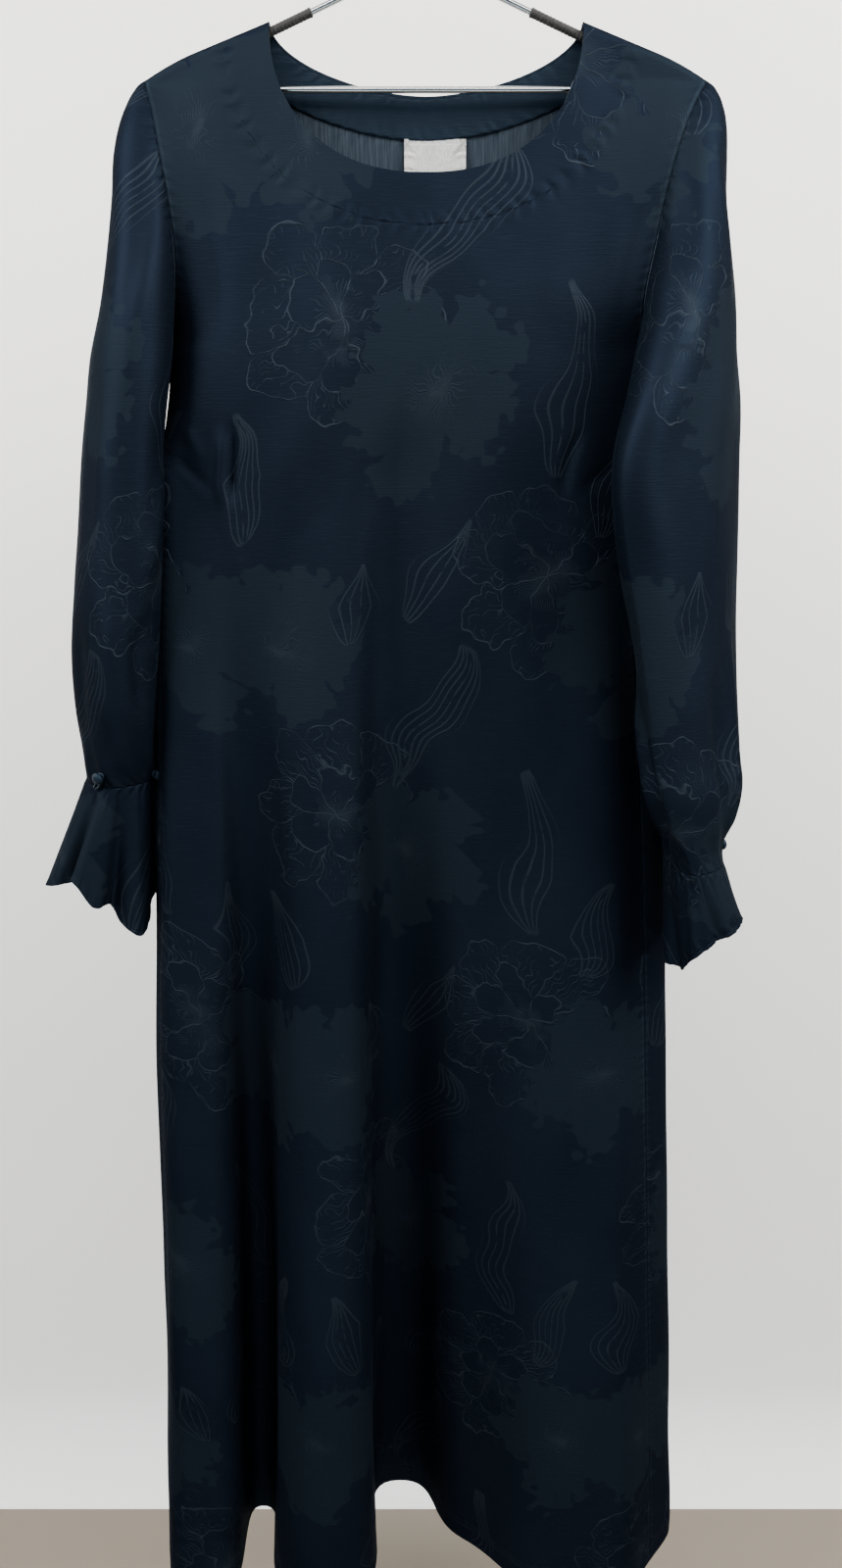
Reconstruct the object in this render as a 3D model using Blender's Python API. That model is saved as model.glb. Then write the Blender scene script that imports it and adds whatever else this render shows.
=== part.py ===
"""Abaya dress hung on a wire hanger.

Metres, +Z up, front towards -Y.  The origin is the inner top of the hanger's hook, where a
rail carries it.  The dress hangs on the hanger's arms, in the plane y = 0.

The cloth is one system of surfaces.  Round the body it is a closed chain of folds, drawn once
at the chest and once at the hem, and each height takes its share of both.  Above the
underarm the front and the back are separate, from one armhole to the other.  Each sleeve is
a flattened tube whose upper end opens into the armhole.  Every cloth piece is a wall made
from points of these surfaces and the same points moved inwards.
"""
import math
from collections import namedtuple

import bmesh
import bpy
import numpy as np
from mathutils import Vector

# ------------------------------------------------------------------ driving dimensions
WALL = 0.0012              # thickness of the cloth
FACING_WALL = 0.0010       # thickness of the facings and the label
GAP = 0.0003               # clear distance between pieces that touch
LAYER_GAP = 0.0006         # clear distance between a panel and what is sewn inside it
SEAM_GAP = 0.0004          # clear distance between two pieces sewn edge to edge

WIRE_RADIUS = 0.00225
GRIP_RADIUS = 0.0031
APEX_Z = -0.0724           # where the axes of the two arms would meet
ARM_SLOPE = 0.42           # drop per unit of x, from the apex to the neck
SHOULDER_SLOPE = 0.365     # drop per unit of x, under the dress
ARM_BEND_X = 0.110         # where the arm's slope changes
BAR_Z = -0.1545            # axis of the lower bar
CORNER_RADIUS = 0.0048     # bend at the end of each arm, on the axis
CORNER_X = 0.1885          # centre of that bend
GRIP_FROM_X, GRIP_TO_X = 0.078, 0.180
HOOK_RADIUS = 0.020        # inside of the hook
HOOK_FROM, HOOK_TO = -48.0, 196.0     # ends of the hook's arc, in degrees

MID_X = 0.0035             # the dress sits this far off the hanger's centre
SHOULDER_TOP_Z = -0.0702   # where the two shoulder lines would meet
SHOULDER_ROUND_FROM = 0.165
SHOULDER_ROUND = 3.2       # how fast the shoulder line drops past that distance
WRAP_RADIUS = 0.0071       # outside of the cloth, round a covered arm of the hanger
TIP_Z = -0.1495            # shoulder tip, top of both armholes
UNDERARM_Z = -0.335
CHAIN_Z = -0.43            # from here down the body is the chain of folds alone
HEM_Z = -1.450

NECK_LEFT_X, NECK_RIGHT_X = -0.1088, 0.1160
FRONT_NECK_Z, BACK_NECK_Z = -0.2134, -0.1560
FRONT_NECK_POWER, BACK_NECK_POWER = 2.25, 1.75
BACK_FACING_WIDTH, FRONT_FACING_WIDTH = 0.029, 0.035
LABEL_MID_X, LABEL_WIDTH, LABEL_HEIGHT = 0.0105, 0.046, 0.050

# Radius and height over the cloth, from the foot of the shank to the top of the dome.
BUTTON_PROFILE = (
    (0.0, 0.0004), (0.0010, 0.0004), (0.0010, 0.0038), (0.0038, 0.0041),
    (0.0048, 0.0055), (0.0044, 0.0071), (0.0027, 0.0083), (0.0, 0.0087),
)
LOOP_RADIUS = 0.0011
LOOP_BEND = 0.0026
LOOP_LENGTH = 0.013
LOOP_CLEARANCE = 0.0004    # air between a loop and the cloth it lies on
ROUTE_STEPS = 6            # corrections that find the cloth under a point of a loop
FRILL_LENGTH = 0.10        # from the wrist to the hem, about
FOLD_GROWTH = 1.25         # how the folds deepen from their start to the hem
CHEST_FULLNESS = 0.36      # the same share for every fold at the chest

# One row for each fold, round the body from the left side seam: its place at the chest as a
# share of the half width and the depth, its place at the hem, the direction of the cloth at
# both (degrees, 0 along +X), how far the cloth keeps that direction at the hem (a share of
# the way to the next fold), and the height where the fold starts.
Fold = namedtuple("Fold", "name chest_x chest_y chest_turn hem_x hem_y hem_turn hem_reach start")
FOLDS = (
    Fold("side_seam_left", -0.975, -0.35, -70, -0.2470, -0.055, -75, 0.60, -0.40),
    Fold("front_ridge_1", -0.84, -0.80, -25, -0.203, -0.098, 0, 0.55, -0.45),
    Fold("front_valley_1", -0.66, -0.93, -8, -0.163, 0.000, 0, 0.30, -0.50),
    Fold("front_ridge_2", -0.37, -0.99, -2, -0.091, -0.106, 0, 0.66, -0.45),
    Fold("front_valley_2", -0.08, -1.00, 0, -0.023, 0.031, 0, 0.45, -0.42),
    Fold("front_slope", 0.17, -1.00, 0, 0.040, -0.037, -34, 0.46, -0.45),
    Fold("front_ridge_3", 0.58, -0.93, 6, 0.155, -0.095, 0, 0.60, -0.45),
    Fold("side_seam_right", 0.89, -0.62, 40, 0.224, -0.062, 50, 0.60, -0.40),
    Fold("edge_right", 1.00, 0.10, 90, 0.2505, 0.012, 90, 0.60, -0.40),
    Fold("back_ridge_1", 0.80, 0.80, 160, 0.205, 0.100, 180, 0.60, -0.45),
    Fold("back_valley_1", 0.58, 0.93, 173, 0.150, 0.056, 180, 0.60, -0.50),
    Fold("back_ridge_2", 0.35, 0.98, 177, 0.088, 0.120, 180, 0.60, -0.45),
    Fold("back_valley_2", 0.12, 1.00, 180, 0.030, 0.066, 180, 0.60, -0.42),
    Fold("back_ridge_3", -0.17, 1.00, 180, -0.045, 0.126, 180, 0.60, -0.45),
    Fold("back_valley_3", -0.45, 0.97, 184, -0.112, 0.060, 180, 0.60, -0.47),
    Fold("back_ridge_4", -0.74, 0.86, 198, -0.185, 0.104, 180, 0.60, -0.45),
    Fold("edge_left", -1.00, 0.02, 270, -0.2500, -0.012, 270, 0.60, -0.40),
)
FRONT_SEGMENTS = 7         # folds from the left side seam to the right one

# Outermost points of the body and its depth before the folds are added.
Body = namedtuple("Body", "z left_x right_x front_depth back_depth")
BODY = (
    Body(-0.335, -0.1920, 0.1720, 0.035, 0.024),
    Body(-0.370, -0.1985, 0.1745, 0.036, 0.025),
    Body(-0.420, -0.2005, 0.1775, 0.037, 0.027),
    Body(-0.500, -0.2025, 0.1820, 0.038, 0.030),
    Body(-0.600, -0.2050, 0.1880, 0.040, 0.033),
    Body(-0.750, -0.2095, 0.1965, 0.042, 0.037),
    Body(-0.900, -0.2150, 0.2015, 0.043, 0.039),
    Body(-1.100, -0.2150, 0.2080, 0.044, 0.041),
    Body(-1.450, -0.2215, 0.2190, 0.045, 0.045),
)

# How far the cloth stands off the hanger's plane at a drop below the shoulder line, past
# the wrap round the arm.
Fall = namedtuple("Fall", "drop front back")
FALL = (
    Fall(0.0071, 0.0000, 0.0000),
    Fall(0.030, 0.0040, 0.0025),
    Fall(0.060, 0.0080, 0.0045),
    Fall(0.100, 0.0125, 0.0070),
    Fall(0.160, 0.0195, 0.0108),
    Fall(0.220, 0.0260, 0.0148),
    Fall(0.300, 0.0300, 0.0200),
    Fall(0.450, 0.0340, 0.0280),
)

# Sleeve sections from the shoulder tip to the wrist.  inner_x and outer_x bound the
# flattened tube before it is turned, opening is half the angle left open to the armhole,
# turn swings the tube's front edge towards the body, and power shapes the section: below 1
# it is boxy, above 1 its front and back edges are pointed.
Ring = namedtuple("Ring", "z inner_x outer_x mid_y half_depth opening turn power")
LEFT_RINGS = (
    Ring(-0.1495, -0.2006, -0.2012, 0.000, 0.0012, 90, 0, 0.90),
    Ring(-0.1520, -0.1994, -0.2042, 0.000, 0.0058, 88, 0, 0.90),
    Ring(-0.1565, -0.1975, -0.2084, 0.000, 0.0090, 84, 0, 0.90),
    Ring(-0.1685, -0.1938, -0.2160, 0.000, 0.016, 75, 1, 0.90),
    Ring(-0.1817, -0.1915, -0.2212, 0.000, 0.022, 66, 2, 0.88),
    Ring(-0.1985, -0.1893, -0.2251, 0.000, 0.028, 56, 3, 0.86),
    Ring(-0.2280, -0.1866, -0.2282, 0.000, 0.036, 42, 6, 0.83),
    Ring(-0.2650, -0.1854, -0.2347, 0.000, 0.045, 30, 10, 0.80),
    Ring(-0.3000, -0.1880, -0.2425, -0.001, 0.053, 18, 14, 0.80),
    Ring(-0.3350, -0.1920, -0.2521, -0.002, 0.058, 0, 17, 0.80),
    Ring(-0.3700, -0.1985, -0.2577, -0.003, 0.062, 0, 18, 0.80),
    Ring(-0.4064, -0.2035, -0.2637, -0.004, 0.064, 0, 18, 0.80),
    Ring(-0.4667, -0.2062, -0.2714, -0.005, 0.065, 0, 18, 0.82),
    Ring(-0.5133, -0.2077, -0.2780, -0.006, 0.064, 0, 17, 0.86),
    Ring(-0.5612, -0.2097, -0.2826, -0.007, 0.062, 0, 14, 0.95),
    Ring(-0.6100, -0.2130, -0.2822, -0.008, 0.058, 0, 9, 1.10),
    Ring(-0.6500, -0.2165, -0.2785, -0.009, 0.050, 0, 3, 1.25),
    Ring(-0.6670, -0.2180, -0.2781, -0.010, 0.043, 0, 0, 1.30),
)
RIGHT_RINGS = (
    Ring(-0.1495, 0.2071, 0.2077, 0.000, 0.0012, 90, 0, 1.00),
    Ring(-0.1520, 0.2052, 0.2112, 0.000, 0.0058, 88, 0, 1.00),
    Ring(-0.1565, 0.2022, 0.2150, 0.000, 0.0090, 84, 0, 1.00),
    Ring(-0.1685, 0.1960, 0.2205, 0.000, 0.016, 75, 1, 1.00),
    Ring(-0.1817, 0.1906, 0.2230, -0.001, 0.022, 66, 3, 1.00),
    Ring(-0.1985, 0.1862, 0.2242, -0.002, 0.028, 56, 5, 1.00),
    Ring(-0.2280, 0.1805, 0.2254, -0.005, 0.037, 42, 8, 1.00),
    Ring(-0.2650, 0.1750, 0.2296, -0.012, 0.048, 30, 13, 1.00),
    Ring(-0.3000, 0.1690, 0.2319, -0.022, 0.059, 18, 20, 1.00),
    Ring(-0.3350, 0.1640, 0.2310, -0.034, 0.067, 0, 27, 1.00),
    Ring(-0.3640, 0.1617, 0.2294, -0.043, 0.072, 0, 33, 1.05),
    Ring(-0.4135, 0.1563, 0.2252, -0.052, 0.0765, 0, 40, 1.15),
    Ring(-0.4800, 0.1620, 0.2298, -0.054, 0.0755, 0, 40, 1.25),
    Ring(-0.5400, 0.1733, 0.2341, -0.055, 0.072, 0, 38, 1.35),
    Ring(-0.5880, 0.1800, 0.2388, -0.056, 0.068, 0, 37, 1.35),
    Ring(-0.6365, 0.1867, 0.2452, -0.057, 0.065, 0, 38, 1.35),
    Ring(-0.6610, 0.1890, 0.2495, -0.058, 0.062, 0, 37, 1.35),
    Ring(-0.6865, 0.1925, 0.2484, -0.059, 0.053, 0, 32, 1.35),
    Ring(-0.7120, 0.1960, 0.2418, -0.060, 0.043, 0, 16, 1.35),
    Ring(-0.7240, 0.1965, 0.2440, -0.060, 0.041, 0, 10, 1.35),
)

# Lower edge of each frill: plan ellipse, and its height by the angle round the wrist
# (0 towards the body, 90 to the front, 180 outwards).
Frill = namedtuple("Frill", "mid_x mid_y half_x half_y")
FRILLS = {
    "left": Frill(-0.2700, -0.012, 0.0480, 0.046),
    "right": Frill(0.2310, -0.062, 0.0310, 0.036),
}
FrillEdge = namedtuple("FrillEdge", "angle left_z right_z")
FRILL_EDGES = (
    FrillEdge(0, -0.766, -0.813),
    FrillEdge(20, -0.780, -0.812),
    FrillEdge(46, -0.797, -0.810),
    FrillEdge(60, -0.787, -0.799),
    FrillEdge(71, -0.771, -0.792),
    FrillEdge(92, -0.765, -0.785),
    FrillEdge(103, -0.747, -0.782),
    FrillEdge(125, -0.752, -0.777),
    FrillEdge(150, -0.757, -0.772),
    FrillEdge(180, -0.764, -0.774),
    FrillEdge(215, -0.762, -0.780),
    FrillEdge(280, -0.770, -0.795),
    FrillEdge(360, -0.766, -0.813),
)
# Valleys between the flutes of a frill: where, how wide, and how deep at the lower edge.
Flute = namedtuple("Flute", "angle half_width depth")
FLUTES = {
    "left": (Flute(14, 12, 0.007), Flute(68, 10, 0.015), Flute(125, 10, 0.018),
             Flute(48, 8, -0.004), Flute(104, 8, -0.004), Flute(178, 12, -0.003),
             Flute(222, 16, 0.011), Flute(290, 16, 0.010)),
    "right": (Flute(30, 15, 0.009), Flute(68, 8, -0.005), Flute(102, 13, 0.006),
              Flute(195, 14, 0.008), Flute(250, 16, 0.009), Flute(335, 14, 0.007)),
}

# Covered buttons: round the wrist, above its seam, and the way the loop's legs run
# (degrees, 0 along the wrist towards the front, 90 down the sleeve).
Button = namedtuple("Button", "sleeve angle rise loop_turn")
BUTTONS = (
    Button("left", 111, 0.011, 60),
    Button("left", 24, 0.006, 200),
    Button("right", 212, 0.006, 60),
    Button("right", 318, 0.006, 120),
)

# Resolution
FRONT_STEPS, BACK_STEPS = 4, 3          # columns for each fold
SHOULDER_COLUMNS = 4
UPPER_ROWS = (0.0, 0.010, 0.037, 0.085, 0.15, 0.23, 0.35, 0.51, 0.68, 0.85, 1.0)
LOWER_ROWS = (-0.375, -0.42, -0.48, -0.56, -0.66, -0.78, -0.92, -1.08, -1.26, HEM_Z)
SLEEVE_COLUMNS = 18
SLEEVE_ROWS = {
    "left": (-0.365, -0.40, -0.45, -0.51, -0.56, -0.61, -0.645, -0.667),
    "right": (-0.364, -0.395, -0.44, -0.50, -0.56, -0.62, -0.661, -0.69, -0.71, -0.724),
}
FRILL_COLUMNS = 30
FRILL_ROWS = (0.0, 0.30, 0.65, 1.0)
FACING_COLUMNS = 20
GRIP_SIDES = 10
BUTTON_SIDES = 12

PAINT = {
    "abaya_cloth": ((0.012, 0.017, 0.026), 0.55, 0.0),
    "facing_cloth": ((0.016, 0.022, 0.034), 0.60, 0.0),
    "label_cloth": ((0.60, 0.61, 0.62), 0.75, 0.0),
    "chrome": ((0.72, 0.73, 0.74), 0.12, 1.0),
    "rubber": ((0.015, 0.015, 0.016), 0.70, 0.0),
}


# ------------------------------------------------------------------ helpers
def track(rows, key, column):
    """A smooth curve through one column of a table, as a function of the key column."""
    ordered = sorted(rows, key=lambda row: getattr(row, key))
    keys = np.array([getattr(row, key) for row in ordered], float)
    values = np.array([getattr(row, column) for row in ordered], float)
    slopes = np.gradient(values, keys)

    def at(position):
        position = np.clip(position, keys[0], keys[-1])
        low = np.clip(np.searchsorted(keys, position) - 1, 0, len(keys) - 2)
        span = keys[low + 1] - keys[low]
        t = (position - keys[low]) / span
        return (values[low] * (1 + 2 * t) * (1 - t) ** 2 + slopes[low] * span * t * (1 - t) ** 2
                + values[low + 1] * t * t * (3 - 2 * t) + slopes[low + 1] * span * t * t * (t - 1))

    return at


def ease(value):
    """Smooth step from 0 to 1."""
    t = np.clip(value, 0.0, 1.0)
    return t * t * (3 - 2 * t)


def unit(vectors):
    """Vectors scaled to length 1, along the last axis."""
    return vectors / np.maximum(np.linalg.norm(vectors, axis=-1, keepdims=True), 1e-12)


def closed_chain(points, turns, reaches):
    """A closed run of curves through points, leaving each one in its given direction."""
    points = np.array(points, float)
    heading = np.radians(np.array(turns, float))
    ways = np.stack([np.cos(heading), np.sin(heading)], axis=-1)
    reaches = np.array(reaches, float)[:, None]
    count = len(points)

    def at(position):
        position = np.asarray(position, float) % count
        low = np.floor(position).astype(int) % count
        high = (low + 1) % count
        t = (position - np.floor(position))[..., None]
        start, end = points[low], points[high]
        gap = np.linalg.norm(end - start, axis=-1, keepdims=True)
        after, before = ways[low] * reaches[low] * gap, ways[high] * reaches[high] * gap
        return (start * (1 - t) ** 3 + (start + after) * 3 * t * (1 - t) ** 2
                + (end - before) * 3 * t * t * (1 - t) + end * t ** 3)

    return at


# ------------------------------------------------------------------ surfaces of the body
body_left = track(BODY, "z", "left_x")
body_right = track(BODY, "z", "right_x")
body_front = track(BODY, "z", "front_depth")
body_back = track(BODY, "z", "back_depth")
fall_front = track(FALL, "drop", "front")
fall_back = track(FALL, "drop", "back")
chest_chain = closed_chain([(f.chest_x, f.chest_y) for f in FOLDS],
                           [f.chest_turn for f in FOLDS], [CHEST_FULLNESS] * len(FOLDS))
hem_chain = closed_chain([(f.hem_x, f.hem_y) for f in FOLDS],
                         [f.hem_turn for f in FOLDS], [f.hem_reach for f in FOLDS])


def fold_start(position):
    """Height where the folds start, along the chain."""
    starts = np.array([f.start for f in FOLDS] + [FOLDS[0].start])
    return np.interp(np.asarray(position) % len(FOLDS), range(len(starts)), starts)


def smooth_body(shares, z):
    """The body without folds: shares of its half width and depth, at a height."""
    x = np.where(shares[..., 0] < 0, (MID_X - body_left(z)) * shares[..., 0],
                 (body_right(z) - MID_X) * shares[..., 0]) + MID_X
    y = np.where(shares[..., 1] < 0, body_front(z) * shares[..., 1],
                 body_back(z) * shares[..., 1])
    return np.stack([x, y], axis=-1)


def folded_body(position, z):
    """Plan points of the folded body, along the chain and down the height."""
    shares = chest_chain(position)
    start = fold_start(position)
    growth = (np.clip((start - z) / (start - HEM_Z), 0, 1) ** FOLD_GROWTH)[..., None]
    return smooth_body(shares, z) + growth * (hem_chain(position) - smooth_body(shares, HEM_Z))


def shoulder_z(x):
    """Height of the shoulder line over x."""
    off = np.abs(x - MID_X)
    past = np.maximum(off - SHOULDER_ROUND_FROM, 0)
    return SHOULDER_TOP_Z - SHOULDER_SLOPE * off - SHOULDER_ROUND * past ** 2


def wrap(drop):
    """Depth of the cloth where it rounds the hanger's arm."""
    inside = np.clip(drop, 0, WRAP_RADIUS)
    return np.sqrt(WRAP_RADIUS ** 2 - (WRAP_RADIUS - inside) ** 2)


def bodice(panel, x, z):
    """Points of the front or back above the underarm, over x and z."""
    sign = -1.0 if panel == "front" else 1.0
    left, right = armhole("left", panel, z), armhole("right", panel, z)
    across = (x - left[..., 0]) / (right[..., 0] - left[..., 0])
    drop = np.maximum(shoulder_z(x) - z, 0)
    depth = wrap(drop) + (fall_front if panel == "front" else fall_back)(drop)
    edge = left[..., 1] + (right[..., 1] - left[..., 1]) * across
    held = wrap(drop) * (1 - ease(drop / 0.05))
    edge = sign * np.maximum(sign * edge, held)
    crown = 1 - np.abs(2 * across - 1) ** 4
    y = edge + (sign * depth - edge) * crown
    return np.stack([x + 0 * y, y, z + 0 * y], axis=-1)


def panel_surface(panel, position, across, z):
    """Points of a panel: across it by share of the width above, along the chain below."""
    left, right = armhole("left", panel, z), armhole("right", panel, z)
    x = left[..., 0] + (right[..., 0] - left[..., 0]) * across
    upper = bodice(panel, x, z)
    plan = folded_body(position, z)
    lower = np.stack([plan[..., 0], plan[..., 1], z + 0 * x], axis=-1)
    share = ease((UNDERARM_Z - z) / (UNDERARM_Z - CHAIN_Z))[..., None]
    return upper * (1 - share) + lower * share


# ------------------------------------------------------------------ surfaces of the sleeves
SIDE = {"left": -1.0, "right": 1.0}
RINGS = {"left": LEFT_RINGS, "right": RIGHT_RINGS}
ring_track = {side: {column: track(rows, "z", column) for column in Ring._fields[1:]}
              for side, rows in RINGS.items()}
WRIST_Z = {side: rows[-1].z for side, rows in RINGS.items()}


def tube(side, angle, z):
    """Plan points of a sleeve's tube at an angle in degrees (0 at the body, 90 in front)."""
    ring = {name: curve(z) for name, curve in ring_track[side].items()}
    opening = np.radians(ring["opening"])
    power = ring["power"]
    thick = np.abs(ring["outer_x"] - ring["inner_x"]) / (1 + np.abs(np.cos(opening)) ** power)
    angle = np.radians(angle)
    sine, cosine = np.sin(angle), np.cos(angle)
    out = -thick * np.sign(cosine) * np.abs(cosine) ** power
    front = ring["half_depth"] * np.sign(sine) * np.abs(sine) ** np.minimum(power, 1.0)
    turn = np.radians(ring["turn"])
    x = ring["outer_x"] - SIDE[side] * thick
    x = x + SIDE[side] * (out * np.cos(turn) - front * np.sin(turn))
    y = ring["mid_y"] - (front * np.cos(turn) + out * np.sin(turn))
    return np.stack([x, y], axis=-1)


def sleeve_surface(side, share, z):
    """Points of a sleeve: round it from the front of the armhole to its back, and down."""
    opening = ring_track[side]["opening"](z)
    angle = opening + (360 - 2 * opening) * share
    plan = tube(side, angle, z)
    return np.stack([plan[..., 0], plan[..., 1], z + 0 * plan[..., 0]], axis=-1)


def armhole(side, panel, z):
    """The armhole's edge on a panel; below the underarm it stays at its lowest point."""
    held = np.clip(z, UNDERARM_Z, TIP_Z)
    point = sleeve_surface(side, 0.0 if panel == "front" else 1.0, held)
    off = np.where(z > TIP_Z, 0.0, point[..., 1])
    return np.stack([point[..., 0], off], axis=-1)


def armhole_normal(points, side):
    """Outward direction along the armhole's seam, shared by the pieces that meet there."""
    middle = np.array([0.0, points[..., 1].mean(), (TIP_Z + UNDERARM_Z) / 2])
    away = points - middle
    away[..., 0] = SIDE[side] * 0.010
    away[..., 2] *= 0.5
    return unit(away)


def frill_surface(side, angle, share):
    """Points of a frill: round the wrist and down its slant."""
    top = tube(side, angle, WRIST_Z[side])
    plan = FRILLS[side]
    turn = np.radians(angle)
    dent = sum(f.depth * np.exp(-(((angle - f.angle + 180) % 360 - 180) / f.half_width) ** 2)
               for f in FLUTES[side])
    edge_x = plan.mid_x - SIDE[side] * (plan.half_x - dent) * np.cos(turn)
    edge_y = plan.mid_y - (plan.half_y - dent) * np.sin(turn)
    edge_z = track(FRILL_EDGES, "angle", side + "_z")(angle % 360)
    x = top[..., 0] + (edge_x - top[..., 0]) * share
    y = top[..., 1] + (edge_y - top[..., 1]) * share
    z = WRIST_Z[side] + (edge_z - WRIST_Z[side]) * share
    return np.stack([x, y, z + 0 * x], axis=-1)


# ------------------------------------------------------------------ walls
def across_down(points, closed):
    """Cross product of a grid's column direction and its row direction, unit length."""
    if closed:
        around = np.roll(points, -1, axis=1) - np.roll(points, 1, axis=1)
    else:
        around = np.gradient(points, axis=1)
    return unit(np.cross(around, np.gradient(points, axis=0)))


def trimmed(points, edges):
    """The grid with the named edges drawn in by half a seam's gap."""
    made = points.copy()
    half = SEAM_GAP / 2
    if "top" in edges:
        made[0] += unit(points[1] - points[0]) * half
    if "bottom" in edges:
        made[-1] += unit(points[-2] - points[-1]) * half
    if "start" in edges:
        made[:, 0] += unit(points[:, 1] - points[:, 0]) * half
    if "end" in edges:
        made[:, -1] += unit(points[:, -2] - points[:, -1]) * half
    return made


def finish(name, mesh, paint):
    """Turn a bmesh into a named object with its material."""
    bmesh.ops.recalc_face_normals(mesh, faces=mesh.faces)
    data = bpy.data.meshes.new(name)
    mesh.to_mesh(data)
    mesh.free()
    data.materials.append(paints[paint])
    data.shade_smooth()
    data.set_sharp_from_angle(angle=math.radians(40))
    made = bpy.data.objects.new(name, data)
    bpy.context.collection.objects.link(made)
    return made


def wall(name, outer, inner, closed, paint):
    """A closed solid between two grids of points, both split along the same diagonals."""
    rows, columns = outer.shape[:2]
    mesh = bmesh.new()
    sheets = [[[mesh.verts.new(Vector(p)) for p in row] for row in grid]
              for grid in (outer, inner)]
    spans = columns if closed else columns - 1
    for r in range(rows - 1):
        for c in range(spans):
            n = (c + 1) % columns
            falling = np.linalg.norm(outer[r, c] - outer[r + 1, n])
            rising = np.linalg.norm(outer[r, n] - outer[r + 1, c])
            for sheet in sheets:
                a, b, d, e = sheet[r][c], sheet[r][n], sheet[r + 1][n], sheet[r + 1][c]
                corners = ((a, b, d), (a, d, e)) if falling <= rising else ((a, b, e), (b, d, e))
                for triangle in corners:
                    mesh.faces.new(triangle)
    for r in (0, rows - 1):
        for c in range(spans):
            n = (c + 1) % columns
            mesh.faces.new((sheets[0][r][c], sheets[0][r][n], sheets[1][r][n], sheets[1][r][c]))
    if not closed:
        for c in (0, columns - 1):
            for r in range(rows - 1):
                mesh.faces.new((sheets[0][r][c], sheets[0][r + 1][c],
                                sheets[1][r + 1][c], sheets[1][r][c]))
    return finish(name, mesh, paint)


# ------------------------------------------------------------------ front and back
def neck_curve(panel, angle, widen):
    """Points (x, z) of the neck's edge, or of a line this far outside it."""
    bottom = FRONT_NECK_Z if panel == "front" else BACK_NECK_Z
    power = FRONT_NECK_POWER if panel == "front" else BACK_NECK_POWER
    left, right = NECK_LEFT_X - widen, NECK_RIGHT_X + widen
    cosine = np.cos(angle)
    x = (left + right) / 2 - (right - left) / 2 * np.sign(cosine) * np.abs(cosine) ** (2 / power)
    ends = shoulder_z(left), shoulder_z(right)
    top = ends[0] + (ends[1] - ends[0]) * (x - left) / (right - left)
    return x, top - (top - bottom + widen) * np.abs(np.sin(angle)) ** (2 / power)


def neck_angles(panel, count):
    """Angles along the neck's edge, closer together where the cloth rounds the hanger."""
    bottom = FRONT_NECK_Z if panel == "front" else BACK_NECK_Z
    power = FRONT_NECK_POWER if panel == "front" else BACK_NECK_POWER
    deep = shoulder_z(NECK_LEFT_X) - bottom
    near = [math.asin((drop / deep) ** (power / 2))
            for drop in WRAP_RADIUS * np.array([0.0, 0.3, 1.0, 2.2])]
    middle = np.linspace(near[-1], math.pi - near[-1], count - 6)
    return np.array(near[:-1] + list(middle) + [math.pi - a for a in near[-2::-1]])


def top_edge(panel, columns):
    """Points (x, z) along a panel's upper edge: shoulder, neck, shoulder."""
    tips = [armhole(side, panel, np.array(TIP_Z))[0] for side in SIDE]
    left = np.linspace(tips[0], NECK_LEFT_X, SHOULDER_COLUMNS + 1)
    right = np.linspace(NECK_RIGHT_X, tips[1], SHOULDER_COLUMNS + 1)
    angles = neck_angles(panel, columns - 2 * SHOULDER_COLUMNS + 1)
    neck_x, neck_z = neck_curve(panel, angles, 0.0)
    x = np.concatenate([left[:-1], neck_x, right[1:]])
    z = np.concatenate([shoulder_z(left[:-1]), neck_z, shoulder_z(right[1:])])
    z[0] = z[-1] = TIP_Z
    return x, z


def panel_grid(panel):
    """Outer points of the front or the back, from left to right and from the top down."""
    if panel == "front":
        columns = FRONT_SEGMENTS * FRONT_STEPS
        position = np.linspace(0, FRONT_SEGMENTS, columns + 1)
    else:
        columns = (len(FOLDS) - FRONT_SEGMENTS) * BACK_STEPS
        position = np.linspace(len(FOLDS), FRONT_SEGMENTS, columns + 1)
    chest = smooth_body(chest_chain(position), UNDERARM_Z)
    run = np.concatenate([[0], np.cumsum(np.linalg.norm(np.diff(chest, axis=0), axis=1))])
    across = run / run[-1]
    top_x, top_z = top_edge(panel, columns)
    left, right = (armhole(side, panel, top_z)[:, 0] for side in SIDE)
    top_across = (top_x - left) / (right - left)
    rows = []
    for share in UPPER_ROWS:
        z = top_z + (UNDERARM_Z - top_z) * share
        rows.append(panel_surface(panel, position, top_across + (across - top_across) * share, z))
    for z in LOWER_ROWS:
        rows.append(panel_surface(panel, position, across, np.full(columns + 1, z)))
    return np.array(rows)


def shoulder_normals(points):
    """Upward normals where points lie on the shoulder line."""
    slope = np.where(points[:, 0] < MID_X, -SHOULDER_SLOPE, SHOULDER_SLOPE)
    return unit(np.stack([slope, 0 * slope, 1 + 0 * slope], axis=-1))


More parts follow.
